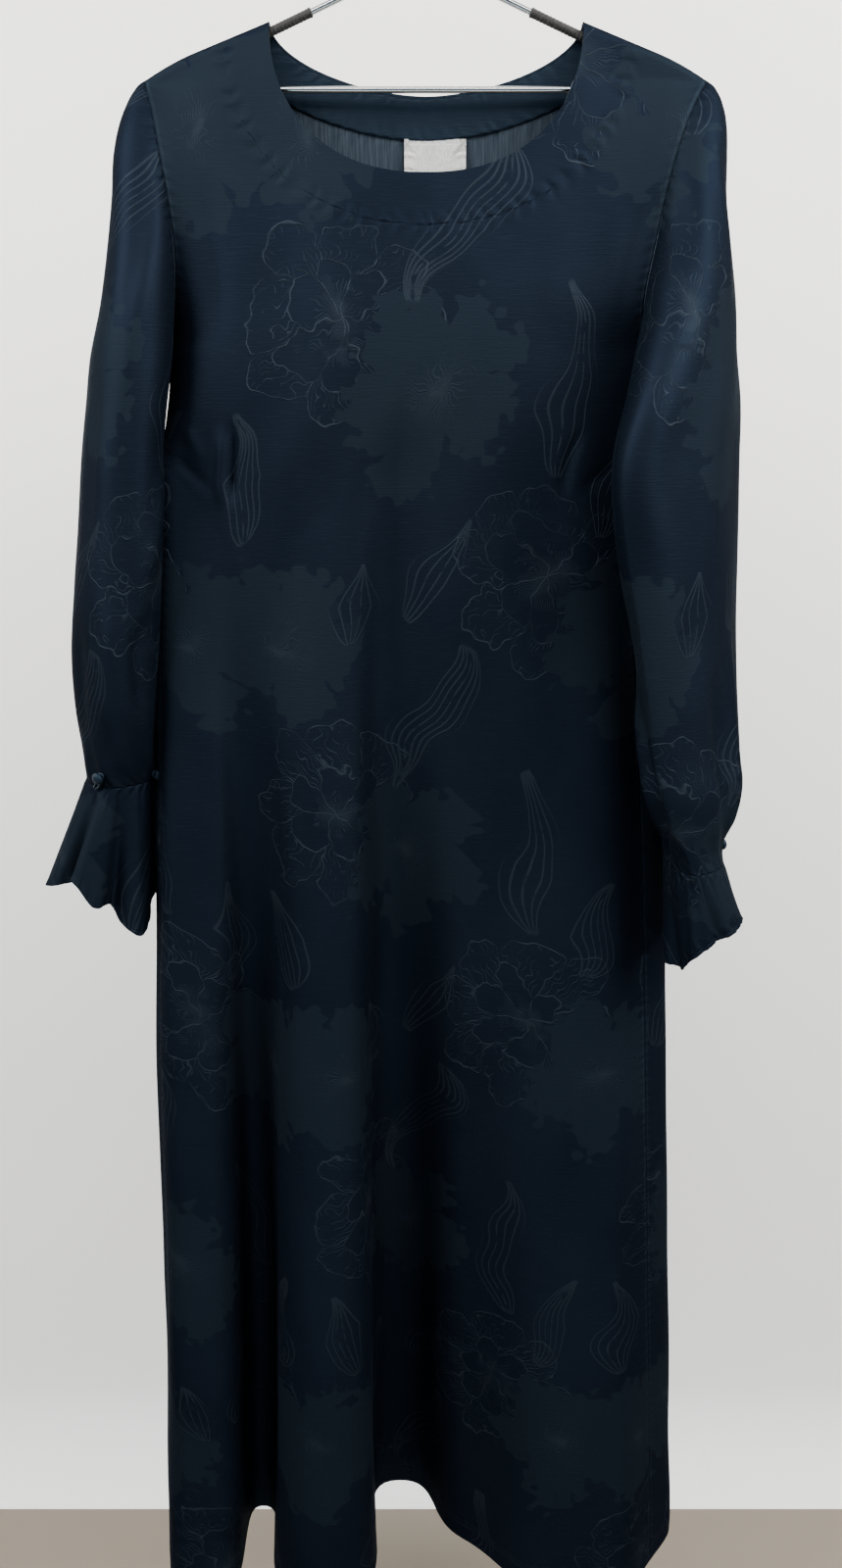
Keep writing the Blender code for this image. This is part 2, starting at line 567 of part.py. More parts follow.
def build_panels():
    """Front and back: walls with shared normals along the shoulder, side and armhole seams."""
    grids = {panel: panel_grid(panel) for panel in ("front", "back")}
    upper = len(UPPER_ROWS)
    across = (grids["front"][:, 1] - grids["back"][:, 1],
              grids["back"][:, -2] - grids["front"][:, -2])
    for panel, points in grids.items():
        normals = across_down(points, closed=False) * (-1 if panel == "front" else 1)
        for column, side, around in ((0, "left", across[0]), (-1, "right", across[1])):
            down = np.gradient(points[:, column], axis=0)
            normals[:, column] = -unit(np.cross(around, down))
            normals[:upper, column] = armhole_normal(points[:upper, column], side)
        shoulder = list(range(SHOULDER_COLUMNS + 1)) + list(range(-SHOULDER_COLUMNS - 1, 0))
        normals[0, shoulder] = shoulder_normals(points[0, shoulder])
        outer = trimmed(points, ("start", "end"))
        outer[0, shoulder] += trimmed(points, ("top",))[0, shoulder] - points[0, shoulder]
        wall(panel + "_panel", outer, outer - normals * WALL, False, "abaya_cloth")


def build_facing(panel, width):
    """A facing on the inside of a panel's neck."""
    angle = neck_angles(panel, FACING_COLUMNS + 1)
    near, far = (np.stack(neck_curve(panel, angle, widen), axis=-1)
                 for widen in (0.0, width))
    rows = [near + (far - near) * share for share in (0.0, 0.33, 0.67, 1.0)]
    points = np.array([bodice(panel, row[:, 0], row[:, 1]) for row in rows])
    normals = across_down(points, closed=False) * (-1 if panel == "front" else 1)
    for column in (0, -1):
        normals[:, column] = shoulder_normals(points[:, column])
    outer = trimmed(points, ("start", "end")) - normals * (WALL + LAYER_GAP)
    wall(panel + "_neck_facing", outer, outer - normals * FACING_WALL, False, "facing_cloth")


def build_label():
    """The bare label on the inside of the back, just below its facing."""
    x = LABEL_MID_X + np.linspace(-0.5, 0.5, 5) * LABEL_WIDTH
    top = BACK_NECK_Z - BACK_FACING_WIDTH - SEAM_GAP
    rows = [bodice("back", x, np.full(5, top - LABEL_HEIGHT * share)) for share in (0, 0.5, 1)]
    points = np.array(rows)
    normals = across_down(points, closed=False)
    outer = points - normals * (WALL + LAYER_GAP)
    wall("neck_label", outer, outer - normals * FACING_WALL, False, "label_cloth")


# ------------------------------------------------------------------ sleeves and frills
def build_sleeve(side):
    """A sleeve: open to the armhole above the underarm, a closed tube below it."""
    facing = 1 if side == "left" else -1
    share = np.linspace(0, 1, SLEEVE_COLUMNS + 1)
    heights = [TIP_Z + (UNDERARM_Z - TIP_Z) * row for row in UPPER_ROWS] + list(SLEEVE_ROWS[side])
    points = np.array([sleeve_surface(side, share, np.full(len(share), z)) for z in heights])
    upper = len(UPPER_ROWS)
    normals = across_down(points, closed=False) * facing
    below = across_down(points[upper - 1:, :-1], closed=True)[1:] * facing
    normals[upper:] = np.concatenate([below, below[:, :1]], axis=1)
    for column in (0, -1):
        normals[:upper, column] = armhole_normal(points[:upper, column], side)
    normals[0] = shoulder_normals(points[0])
    outer = points.copy()
    outer[:upper] = trimmed(points, ("start", "end"))[:upper]
    outer[:, :] = trimmed(outer, ("bottom",))
    inner = outer - normals * WALL
    tube_wall(side + "_sleeve", outer, inner, upper)


def tube_wall(name, outer, inner, upper):
    """A wall whose first rows are open on the armhole's side and whose last rows are closed."""
    rows, columns = outer.shape[:2]
    mesh = bmesh.new()
    sheets = []
    for grid in (outer, inner):
        sheet = []
        for r, row in enumerate(grid):
            made = [mesh.verts.new(Vector(p)) for p in (row if r < upper - 1 else row[:-1])]
            sheet.append(made if r < upper - 1 else made + made[:1])
        sheets.append(sheet)
    for r in range(rows - 1):
        for c in range(columns - 1):
            falling = np.linalg.norm(outer[r, c] - outer[r + 1, c + 1])
            rising = np.linalg.norm(outer[r, c + 1] - outer[r + 1, c])
            for sheet in sheets:
                a, b = sheet[r][c], sheet[r][c + 1]
                d, e = sheet[r + 1][c + 1], sheet[r + 1][c]
                corners = ((a, b, d), (a, d, e)) if falling <= rising else ((a, b, e), (b, d, e))
                for triangle in corners:
                    mesh.faces.new(triangle)
    for r in (0, rows - 1):
        for c in range(columns - 1):
            mesh.faces.new((sheets[0][r][c], sheets[0][r][c + 1],
                            sheets[1][r][c + 1], sheets[1][r][c]))
    for c in (0, columns - 1):
        for r in range(upper - 1):
            mesh.faces.new((sheets[0][r][c], sheets[0][r + 1][c],
                            sheets[1][r + 1][c], sheets[1][r][c]))
    return finish(name, mesh, "abaya_cloth")


def build_frill(side):
    """The flared frill below a wrist."""
    facing = 1 if side == "left" else -1
    angle = np.arange(FRILL_COLUMNS) * 360.0 / FRILL_COLUMNS
    points = np.array([frill_surface(side, angle, share) for share in FRILL_ROWS])
    normals = across_down(points, closed=True) * facing
    outer = trimmed(points, ("top",))
    wall(side + "_frill", outer, outer - normals * WALL, True, "abaya_cloth")


# ------------------------------------------------------------------ buttons and loops
def sleeve_frame(side, angle, z):
    """A point of the sleeve with its outward, around and down directions."""
    def at(turn, height):
        plan = tube(side, turn, np.array(height))
        return Vector((plan[0], plan[1], height))

    around = (at(angle + 3, z) - at(angle - 3, z)).normalized()
    down = (at(angle, z - 0.004) - at(angle, z + 0.004)).normalized()
    out = around.cross(down).normalized() * (1 if side == "left" else -1)
    return at(angle, z), out, around, down


def cloth_frame(side, angle, z):
    """A point of the sleeve or, below the wrist, of the frill, with its outward direction."""
    if z > WRIST_Z[side]:
        return sleeve_frame(side, angle, z)[:2]
    share = (WRIST_Z[side] - z) / FRILL_LENGTH
    spot = Vector(frill_surface(side, np.array(angle), share))
    around = Vector(frill_surface(side, np.array(angle + 3), share)) - spot
    down = Vector(frill_surface(side, np.array(angle), share + 0.02)) - spot
    out = around.cross(down).normalized() * (1 if side == "left" else -1)
    return spot, out


def build_button(row, number):
    """A domed, cloth-covered button on a short shank, and the rouleau loop round it."""
    z = WRIST_Z[row.sleeve] + row.rise
    point, out, around, down = sleeve_frame(row.sleeve, row.angle, z)
    mesh = bmesh.new()
    rings = []
    for radius, height in BUTTON_PROFILE:
        if radius == 0:
            rings.append([mesh.verts.new(point + out * height)])
            continue
        turns = [2 * math.pi * i / BUTTON_SIDES for i in range(BUTTON_SIDES)]
        rings.append([mesh.verts.new(point + out * height + around * radius * math.cos(t)
                                     + down * radius * math.sin(t)) for t in turns])
    for low, high in zip(rings, rings[1:]):
        for i in range(BUTTON_SIDES):
            n = (i + 1) % BUTTON_SIDES
            corners = [low[i % len(low)], low[n % len(low)], high[n % len(high)],
                       high[i % len(high)]]
            mesh.faces.new(list(dict.fromkeys(corners)))
    finish(f"{row.sleeve}_button_{number}", mesh, "abaya_cloth")

    turn = math.radians(row.loop_turn)
    ahead = around * math.cos(turn) + down * math.sin(turn)
    beside = around * -math.sin(turn) + down * math.cos(turn)
    bend = [math.pi / 2 + math.pi * i / 8 for i in range(9)]
    track_points = [(LOOP_LENGTH, LOOP_BEND * 0.8), (LOOP_LENGTH / 2, LOOP_BEND)]
    track_points += [(LOOP_BEND * math.cos(t), LOOP_BEND * math.sin(t)) for t in bend]
    track_points += [(LOOP_LENGTH / 2, -LOOP_BEND), (LOOP_LENGTH, -LOOP_BEND * 0.8)]
    route = []
    for run, off in track_points:
        flat = ahead * run + beside * off
        sideways, lower = flat.dot(around), flat.dot(down)
        degrees = row.angle
        for _ in range(ROUTE_STEPS):
            spot, normal = cloth_frame(row.sleeve, degrees, z - lower)
            beyond = cloth_frame(row.sleeve, degrees + 1, z - lower)[0]
            short = sideways - (spot - point).dot(around)
            degrees += short / (beyond - spot).dot(around)
        route.append(spot + normal * (GAP + LOOP_RADIUS + LOOP_CLEARANCE))
    tube_curve(f"{row.sleeve}_loop_{number}", route, LOOP_RADIUS, False, "abaya_cloth")


# ------------------------------------------------------------------ hanger
APEX_BEND = [(0.0, APEX_Z - 0.0030), (0.0050, APEX_Z - 0.0038)]     # the rounded apex
ARM_POINTS = (0.014, 0.060, 0.100, 0.112, 0.150, 0.176)
CORNER_END = -98.0         # where the arm's end bend meets the bar, in degrees
BAR_HALF = [(0.172, BAR_Z - 0.0006), (0.160, BAR_Z), (0.0, BAR_Z)]
HOOK_STEM = [(0.0, -0.0600), (0.0030, -0.0520), (0.0107, -0.0430)]


def tube_curve(name, points, radius, closed, paint):
    """A round wire or cord through points."""
    data = bpy.data.curves.new(name, "CURVE")
    data.dimensions = "3D"
    data.resolution_u = 1
    data.render_resolution_u = 0
    data.bevel_depth = radius
    data.bevel_resolution = 2
    data.use_fill_caps = not closed
    spline = data.splines.new("POLY")
    spline.points.add(len(points) - 1)
    for spot, point in zip(spline.points, points):
        spot.co = (*point, 1)
    spline.use_cyclic_u = closed
    data.materials.append(paints[paint])
    made = bpy.data.objects.new(name, data)
    bpy.context.collection.objects.link(made)
    return made


def arm_z(x):
    """Height of the axis of the hanger's arm over x."""
    off = abs(x)
    near = min(off, ARM_BEND_X)
    past = max(off - ARM_BEND_X, 0)
    return APEX_Z - ARM_SLOPE * near - SHOULDER_SLOPE * past


def arc(centre, radius, start, end, steps):
    """Points (x, z) of an arc, angles in degrees."""
    turns = [math.radians(start + (end - start) * i / steps) for i in range(steps + 1)]
    return [(centre[0] + radius * math.cos(t), centre[1] + radius * math.sin(t)) for t in turns]


def half_frame():
    """The frame's axis from the apex to the middle of the bar, on the +X side."""
    arm = [(x, arm_z(x)) for x in ARM_POINTS]
    start = 90 - math.degrees(math.atan(SHOULDER_SLOPE))
    low = math.radians(start)
    middle = (CORNER_X, arm_z(CORNER_X + CORNER_RADIUS * math.cos(low))
              - CORNER_RADIUS * math.sin(low))
    corner = arc(middle, CORNER_RADIUS, start, CORNER_END, 6)
    return APEX_BEND + arm + corner + BAR_HALF


def build_hanger():
    """The frame, the hook that is closed round its apex, and the two grips."""
    right = half_frame()
    left = [(-x, z) for x, z in reversed(right[1:-1])]
    frame = [(x, 0.0, z) for x, z in right + left]
    tube_curve("hanger_frame", frame, WIRE_RADIUS, True, "chrome")

    top = (0.0, -HOOK_RADIUS)
    axis = HOOK_RADIUS + WIRE_RADIUS
    foot_z = APEX_BEND[0][1] + WIRE_RADIUS + GAP
    hook = [(0.0, foot_z)] + HOOK_STEM + arc(top, axis, HOOK_FROM, HOOK_TO, 16)
    tube_curve("hanger_hook", [(x, 0.0, z) for x, z in hook], WIRE_RADIUS, False, "chrome")

    for side, sign in SIDE.items():
        build_grip(side, sign)


def build_grip(side, sign):
    """A rubber tube round one arm of the frame."""
    places = [GRIP_FROM_X, 0.100, 0.110, 0.150, GRIP_TO_X]
    tilt = [math.atan(ARM_SLOPE), math.atan(ARM_SLOPE),
            (math.atan(ARM_SLOPE) + math.atan(SHOULDER_SLOPE)) / 2,
            math.atan(SHOULDER_SLOPE), math.atan(SHOULDER_SLOPE)]
    sheets = []
    for radius in (GRIP_RADIUS, WIRE_RADIUS + GAP):
        rings = []
        for x, lean in zip(places, tilt):
            middle = np.array([sign * x, 0.0, arm_z(x)])
            up = np.array([sign * math.sin(lean), 0.0, math.cos(lean)])
            turns = np.arange(GRIP_SIDES) * 2 * math.pi / GRIP_SIDES
            rings.append([middle + radius * (up * math.cos(t) + np.array([0, math.sin(t), 0]))
                          for t in turns])
        sheets.append(np.array(rings))
    wall(side + "_grip", sheets[0], sheets[1], True, "rubber")


# ------------------------------------------------------------------ build
def paint_material(name, colour, roughness, metallic):
    material = bpy.data.materials.new(name)
    material.use_nodes = True
    shader = material.node_tree.nodes["Principled BSDF"]
    shader.inputs["Base Color"].default_value = (*colour, 1.0)
    shader.inputs["Roughness"].default_value = roughness
    shader.inputs["Metallic"].default_value = metallic
    return material


for old in list(bpy.data.objects):
    bpy.data.objects.remove(old, do_unlink=True)
paints = {name: paint_material(name, *values) for name, values in PAINT.items()}
build_hanger()
build_panels()
build_facing("back", BACK_FACING_WIDTH)
build_facing("front", FRONT_FACING_WIDTH)
build_label()
for sleeve in SIDE:
    build_sleeve(sleeve)
    build_frill(sleeve)
for index, button in enumerate(BUTTONS):
    build_button(button, index % 2 + 1)
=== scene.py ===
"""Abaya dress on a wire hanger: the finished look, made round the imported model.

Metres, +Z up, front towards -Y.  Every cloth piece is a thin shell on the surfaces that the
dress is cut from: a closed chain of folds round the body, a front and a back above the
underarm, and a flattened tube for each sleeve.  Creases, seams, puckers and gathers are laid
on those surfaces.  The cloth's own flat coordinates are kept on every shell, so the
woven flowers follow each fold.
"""
import math
from collections import namedtuple

import bmesh
import bpy
import numpy as np
from mathutils import Matrix, Vector


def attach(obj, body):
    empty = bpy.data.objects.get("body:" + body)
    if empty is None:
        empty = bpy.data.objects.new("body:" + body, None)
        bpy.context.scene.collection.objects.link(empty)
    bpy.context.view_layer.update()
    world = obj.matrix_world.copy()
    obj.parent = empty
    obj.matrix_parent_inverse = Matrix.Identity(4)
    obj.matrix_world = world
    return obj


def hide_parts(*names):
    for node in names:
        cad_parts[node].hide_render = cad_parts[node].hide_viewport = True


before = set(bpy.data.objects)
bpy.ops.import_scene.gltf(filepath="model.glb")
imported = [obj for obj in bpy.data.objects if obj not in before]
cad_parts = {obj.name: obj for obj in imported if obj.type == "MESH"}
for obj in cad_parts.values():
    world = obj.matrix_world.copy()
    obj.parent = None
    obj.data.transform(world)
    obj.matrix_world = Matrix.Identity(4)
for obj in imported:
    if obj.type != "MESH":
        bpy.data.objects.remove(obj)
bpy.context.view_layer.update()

# ------------------------------------------------------------------ sizes of the dress
CLOTH = 0.0010             # thickness of the cloth
FACING_CLOTH = 0.0008
LAYER_GAP = 0.0006         # between a panel and what is sewn inside it

MID_X = 0.0035             # the dress sits this far off the hanger's centre
SHOULDER_TOP_Z = -0.0702   # where the two shoulder lines would meet
SHOULDER_SLOPE = 0.365
SHOULDER_ROUND_FROM = 0.165
SHOULDER_ROUND = 3.2       # how fast the shoulder line drops past that distance
WRAP_RADIUS = 0.0071       # outside of the cloth, round a covered arm of the hanger
WRAP_FADE = 0.05           # the cloth keeps the arm's depth this far down beside an armhole
TIP_Z = -0.1495            # shoulder tip, top of both armholes
UNDERARM_Z = -0.335
CHAIN_Z = -0.43            # from here down the body is the chain of folds alone
HEM_Z = -1.450

NECK_LEFT_X, NECK_RIGHT_X = -0.1088, 0.1160
# way is the panel's direction along Y; seeds are for its small and its slow unevenness.
Panel = namedtuple("Panel", "way neck_z neck_power facing_width columns seeds")
PANELS = {
    "front": Panel(-1.0, -0.2134, 2.25, 0.035, 147, (5, 8)),
    "back": Panel(1.0, -0.1560, 1.75, 0.029, 150, (6, 9)),
}
LABEL_MID_X, LABEL_WIDTH, LABEL_HEIGHT = 0.0105, 0.046, 0.050
LABEL_CLOTH = 0.0004

CHEST_FULLNESS = 0.36      # reach of the curves between the folds' places on the chest
LEFT_SQUARENESS, RIGHT_SQUARENESS = 12, 4    # how far out the chest stays flat on each side

# Where the outline turns at each ridge and valley: in shares of the half width and depth on
# the chest, in metres at the hem.  A turn is its heading there in degrees, hem_reach how far
# the curve runs on in that direction, and start the height where the fold begins.
Fold = namedtuple("Fold", "name chest_x chest_y chest_turn hem_x hem_y hem_turn hem_reach start")
FOLDS = (
    Fold("side_seam_left", -0.990, -0.72, -72, -0.2470, -0.055, -75, 0.60, -0.40),
    Fold("front_ridge_1", -0.84, -0.80, -25, -0.203, -0.098, 0, 0.55, -0.45),
    Fold("front_valley_1", -0.66, -0.93, -8, -0.163, 0.000, 0, 0.30, -0.50),
    Fold("front_ridge_2", -0.37, -0.99, -2, -0.091, -0.106, 0, 0.66, -0.45),
    Fold("front_valley_2", -0.11, -0.97, 0, -0.023, 0.031, 0, 0.45, -0.36),
    Fold("front_slope", 0.17, -1.00, 0, 0.040, -0.037, -34, 0.46, -0.45),
    Fold("front_ridge_3", 0.58, -0.93, 6, 0.155, -0.095, 0, 0.60, -0.45),
    Fold("side_seam_right", 0.89, -0.62, 40, 0.224, -0.062, 50, 0.60, -0.40),
    Fold("edge_right", 1.00, 0.10, 90, 0.2505, 0.012, 90, 0.60, -0.40),
    Fold("back_ridge_1", 0.80, 0.80, 160, 0.205, 0.100, 180, 0.60, -0.45),
    Fold("back_valley_1", 0.58, 0.93, 173, 0.150, 0.056, 180, 0.60, -0.50),
    Fold("back_ridge_2", 0.35, 0.98, 177, 0.088, 0.120, 180, 0.60, -0.45),
    Fold("back_valley_2", 0.12, 1.00, 180, 0.030, 0.066, 180, 0.60, -0.42),
    Fold("back_ridge_3", -0.17, 1.00, 180, -0.045, 0.126, 180, 0.60, -0.45),
    Fold("back_valley_3", -0.45, 0.97, 184, -0.112, 0.060, 180, 0.60, -0.47),
    Fold("back_ridge_4", -0.74, 0.86, 198, -0.185, 0.104, 180, 0.60, -0.45),
    Fold("edge_left", -1.00, 0.02, 270, -0.2500, -0.012, 270, 0.60, -0.40),
)
FRONT_SEGMENTS = 7         # folds from the left side seam to the right one

# The body without its folds, at a height.
Body = namedtuple("Body", "z left_x right_x front_depth back_depth")
BODY = (
    Body(-0.335, -0.1920, 0.1720, 0.035, 0.024),
    Body(-0.370, -0.1985, 0.1745, 0.036, 0.025),
    Body(-0.420, -0.2005, 0.1775, 0.037, 0.027),
    Body(-0.500, -0.2025, 0.1820, 0.038, 0.030),
    Body(-0.600, -0.2050, 0.1880, 0.040, 0.033),
    Body(-0.750, -0.2095, 0.1965, 0.042, 0.037),
    Body(-0.900, -0.2150, 0.2015, 0.043, 0.039),
    Body(-1.100, -0.2150, 0.2080, 0.044, 0.041),
    Body(-1.450, -0.2215, 0.2190, 0.045, 0.045),
)

# How far the front and back hang out past the curve round the arm, by the drop from its top.
Fall = namedtuple("Fall", "drop front back")
FALL = (
    Fall(0.0071, 0.0000, 0.0000),
    Fall(0.030, 0.0040, 0.0025),
    Fall(0.060, 0.0080, 0.0045),
    Fall(0.100, 0.0125, 0.0070),
    Fall(0.160, 0.0195, 0.0108),
    Fall(0.220, 0.0260, 0.0148),
    Fall(0.300, 0.0300, 0.0200),
    Fall(0.450, 0.0340, 0.0280),
)

# Level cuts through the sleeves.  opening is the armhole's half gap in degrees, turn swings
# the cut round, and power is above 1 where its ends are pointed.
Ring = namedtuple("Ring", "z inner_x outer_x mid_y half_depth opening turn power")
LEFT_RINGS = (
    Ring(-0.1495, -0.2006, -0.2012, 0.000, 0.0012, 90, 0, 0.90),
    Ring(-0.1520, -0.1994, -0.2042, 0.000, 0.0058, 88, 0, 0.90),
    Ring(-0.1565, -0.1975, -0.2084, 0.000, 0.0090, 84, 0, 0.90),
    Ring(-0.1685, -0.1938, -0.2160, 0.000, 0.016, 75, 1, 0.90),
    Ring(-0.1817, -0.1915, -0.2212, 0.000, 0.022, 66, 2, 0.88),
    Ring(-0.1985, -0.1893, -0.2251, 0.000, 0.028, 56, 3, 0.86),
    Ring(-0.2280, -0.1866, -0.2282, 0.000, 0.036, 42, 6, 0.83),
    Ring(-0.2650, -0.1854, -0.2347, 0.000, 0.045, 30, 10, 0.80),
    Ring(-0.3000, -0.1880, -0.2425, -0.001, 0.053, 18, 14, 0.80),
    Ring(-0.3350, -0.1920, -0.2521, -0.002, 0.058, 0, 17, 0.80),
    Ring(-0.3700, -0.1985, -0.2577, -0.003, 0.062, 0, 18, 0.80),
    Ring(-0.4064, -0.2035, -0.2637, -0.004, 0.064, 0, 18, 0.80),
    Ring(-0.4667, -0.2062, -0.2714, -0.005, 0.065, 0, 18, 0.82),
    Ring(-0.5133, -0.2077, -0.2780, -0.006, 0.064, 0, 17, 0.86),
    Ring(-0.5612, -0.2097, -0.2826, -0.007, 0.062, 0, 14, 0.95),
    Ring(-0.6100, -0.2130, -0.2822, -0.008, 0.058, 0, 9, 1.10),
    Ring(-0.6500, -0.2165, -0.2785, -0.009, 0.050, 0, 3, 1.25),
    Ring(-0.6670, -0.2180, -0.2781, -0.010, 0.043, 0, 0, 1.30),
)
RIGHT_RINGS = (
    Ring(-0.1495, 0.2071, 0.2077, 0.000, 0.0012, 90, 0, 1.00),
    Ring(-0.1520, 0.2052, 0.2112, 0.000, 0.0058, 88, 0, 1.00),
    Ring(-0.1565, 0.2022, 0.2150, 0.000, 0.0090, 84, 0, 1.00),
    Ring(-0.1685, 0.1960, 0.2205, 0.000, 0.016, 75, 1, 1.00),
    Ring(-0.1817, 0.1906, 0.2230, -0.001, 0.022, 66, 3, 1.00),
    Ring(-0.1985, 0.1862, 0.2242, -0.002, 0.028, 56, 5, 1.00),
    Ring(-0.2280, 0.1805, 0.2254, -0.005, 0.037, 42, 8, 1.00),
    Ring(-0.2650, 0.1750, 0.2296, -0.012, 0.048, 30, 13, 1.00),
    Ring(-0.3000, 0.1690, 0.2319, -0.022, 0.059, 18, 20, 1.00),
    Ring(-0.3350, 0.1640, 0.2310, -0.034, 0.067, 0, 27, 1.00),
    Ring(-0.3640, 0.1617, 0.2294, -0.043, 0.072, 0, 33, 1.05),
    Ring(-0.4135, 0.1563, 0.2252, -0.052, 0.0765, 0, 40, 1.15),
    Ring(-0.4800, 0.1620, 0.2298, -0.054, 0.0755, 0, 40, 1.25),
    Ring(-0.5400, 0.1733, 0.2341, -0.055, 0.072, 0, 38, 1.35),
    Ring(-0.5880, 0.1800, 0.2388, -0.056, 0.068, 0, 37, 1.35),
    Ring(-0.6365, 0.1867, 0.2452, -0.057, 0.065, 0, 38, 1.35),
    Ring(-0.6610, 0.1890, 0.2495, -0.058, 0.062, 0, 37, 1.35),
    Ring(-0.6865, 0.1925, 0.2484, -0.059, 0.053, 0, 32, 1.35),
    Ring(-0.7120, 0.1960, 0.2418, -0.060, 0.043, 0, 16, 1.35),
    Ring(-0.7240, 0.1965, 0.2440, -0.060, 0.041, 0, 10, 1.35),
)

# Each frill's hem in plan, and its height by the angle round it (0 at the body, 90 in front).
Frill = namedtuple("Frill", "mid_x mid_y half_x half_y")
FRILLS = {
    "left": Frill(-0.2700, -0.012, 0.0480, 0.046),
    "right": Frill(0.2310, -0.062, 0.0310, 0.036),
}
FrillEdge = namedtuple("FrillEdge", "angle left_z right_z")
FRILL_EDGES = (
    FrillEdge(0, -0.766, -0.813),
    FrillEdge(20, -0.780, -0.812),
    FrillEdge(46, -0.797, -0.810),
    FrillEdge(60, -0.787, -0.799),
    FrillEdge(71, -0.771, -0.792),
    FrillEdge(92, -0.765, -0.785),
    FrillEdge(103, -0.747, -0.782),
    FrillEdge(125, -0.752, -0.777),
    FrillEdge(150, -0.757, -0.772),
    FrillEdge(180, -0.764, -0.774),
    FrillEdge(215, -0.762, -0.780),
    FrillEdge(280, -0.770, -0.795),
    FrillEdge(360, -0.766, -0.813),
)
# Dents in the frills' hems; a negative one stands out.
Flute = namedtuple("Flute", "angle half_width depth")
FLUTES = {
    "left": (Flute(14, 12, 0.007), Flute(68, 10, 0.015), Flute(125, 10, 0.018),
             Flute(48, 8, -0.004), Flute(104, 8, -0.004), Flute(178, 12, -0.003),
             Flute(222, 16, 0.011), Flute(290, 16, 0.010)),
    "right": (Flute(30, 15, 0.009), Flute(68, 8, -0.005), Flute(102, 13, 0.006),
              Flute(195, 14, 0.008), Flute(250, 16, 0.009), Flute(335, 14, 0.007)),
}

# The place of each button round its sleeve and over the wrist, and the way its loop lies.
Button = namedtuple("Button", "sleeve angle rise loop_turn")
BUTTONS = (
    Button("left", 111, 0.011, 60),
    Button("left", 24, 0.006, 200),
    Button("right", 212, 0.006, 60),
    Button("right", 318, 0.006, 120),
)
# Radius and height over the cloth, from the foot of the shank to the top of the dome.
BUTTON_PROFILE = (
    (0.0012, 0.0003), (0.0010, 0.0006), (0.0010, 0.0036), (0.0012, 0.0038), (0.0038, 0.0040),
    (0.0045, 0.0044), (0.0049, 0.0054), (0.0047, 0.0065), (0.0040, 0.0075), (0.0028, 0.0083),
    (0.0014, 0.0087),
)
LOOP_RADIUS = 0.0011
LOOP_BEND = 0.0026
LOOP_LENGTH = 0.013
LOOP_CLEARANCE = 0.0010    # air between a loop and the cloth it lies on
LEG_STEPS, BEND_STEPS = 14, 17
LEG_CLOSING = 0.2          # share by which a loop's legs close in on each other at their feet
TWIST, TWIST_STEP = 0.07, 1.9
ROUTE_STEPS = 6            # corrections that find the cloth under a point of a loop
FRILL_LENGTH = 0.10        # from the wrist to the hem, about

# ------------------------------------------------------------------ sizes of the hanger
WIRE_RADIUS = 0.00225
GRIP_RADIUS = 0.0031
APEX_Z = -0.0724
ARM_SLOPE = 0.42
ARM_BEND_X = 0.110
BAR_Z = -0.1545
CORNER_RADIUS = 0.0048
CORNER_X = 0.1885
GRIP_FROM_X, GRIP_TO_X = 0.078, 0.180
HOOK_RADIUS = 0.020        # inside the bend
HOOK_FROM, HOOK_TO = -48.0, 196.0       # ends of the hook's arc, in degrees
APEX_DROP = 0.003          # how far the bend at the apex is rounded down
CORNER_TURN = 8.0          # how far the end bend turns past the bar, in degrees
BAR_DIP_FROM, BAR_DIP_TO, BAR_DIP = 0.172, 0.160, 0.0006     # where the bar straightens
ARM_LEAN = math.atan(ARM_SLOPE)
SHOULDER_LEAN = math.atan(SHOULDER_SLOPE)
Stem = namedtuple("Stem", "x z lean")   # places up the hook's stem, and the lean gained there
STEM = (
    Stem(0.0, -0.0600, 10),
    Stem(0.0030, -0.0520, 16),
    Stem(0.0107, -0.0430, 16),
)
RIB_STEP, RIB_HEIGHT = 0.0026, 0.035    # ribs of a grip along it, and their share of its size
GRIP_STEPS = 240
# The lip at each end of a grip: its share of the grip's size, place and width; and the rounding
# of the end itself.
LIP, LIP_PLACE, LIP_WIDTH = 0.10, 0.0012, 0.0010
END_ROUNDING, END_ROUNDING_WIDTH = 0.18, 0.0004
WELD_RADIUS, WELD_SINK, WELD_SHAPE = WIRE_RADIUS * 1.25, 0.0005, (1.25, 1.05, 0.8)

# ------------------------------------------------------------------ resolution of the shells
SHOULDER_SHARE = 1 / 7     # of a panel's columns on each shoulder
UPPER_ROWS, LOWER_ROWS = 62, 236
ROWS_CLOSER_AT_TOP = 1.2
CHEST_ROWS, CHEST_ROW_SHARE = 50, 0.62     # rows just below the underarm are this much closer
HEM_ROWS, HEM_ROW_SHARE = 14, 0.40
SLEEVE_COLUMNS, SLEEVE_UPPER_ROWS, SLEEVE_LOWER_ROWS = 128, 64, 130
SLEEVE_ROWS_CLOSER_AT_TOP = 1.35
FRILL_COLUMNS, FRILL_ROWS = 180, 36


# ------------------------------------------------------------------ curves through tables
def track(rows, key, column):
    """A smooth curve through one column of a table, as a function of the key column."""
    ordered = sorted(rows, key=lambda row: getattr(row, key))
    keys = np.array([getattr(row, key) for row in ordered], float)
    values = np.array([getattr(row, column) for row in ordered], float)
    slopes = np.gradient(values, keys)

    def at(position):
        position = np.clip(position, keys[0], keys[-1])
        low = np.clip(np.searchsorted(keys, position) - 1, 0, len(keys) - 2)
        span = keys[low + 1] - keys[low]
        t = (position - keys[low]) / span
        return (values[low] * (1 + 2 * t) * (1 - t) ** 2 + slopes[low] * span * t * (1 - t) ** 2
                + values[low + 1] * t * t * (3 - 2 * t) + slopes[low + 1] * span * t * t * (t - 1))

    return at


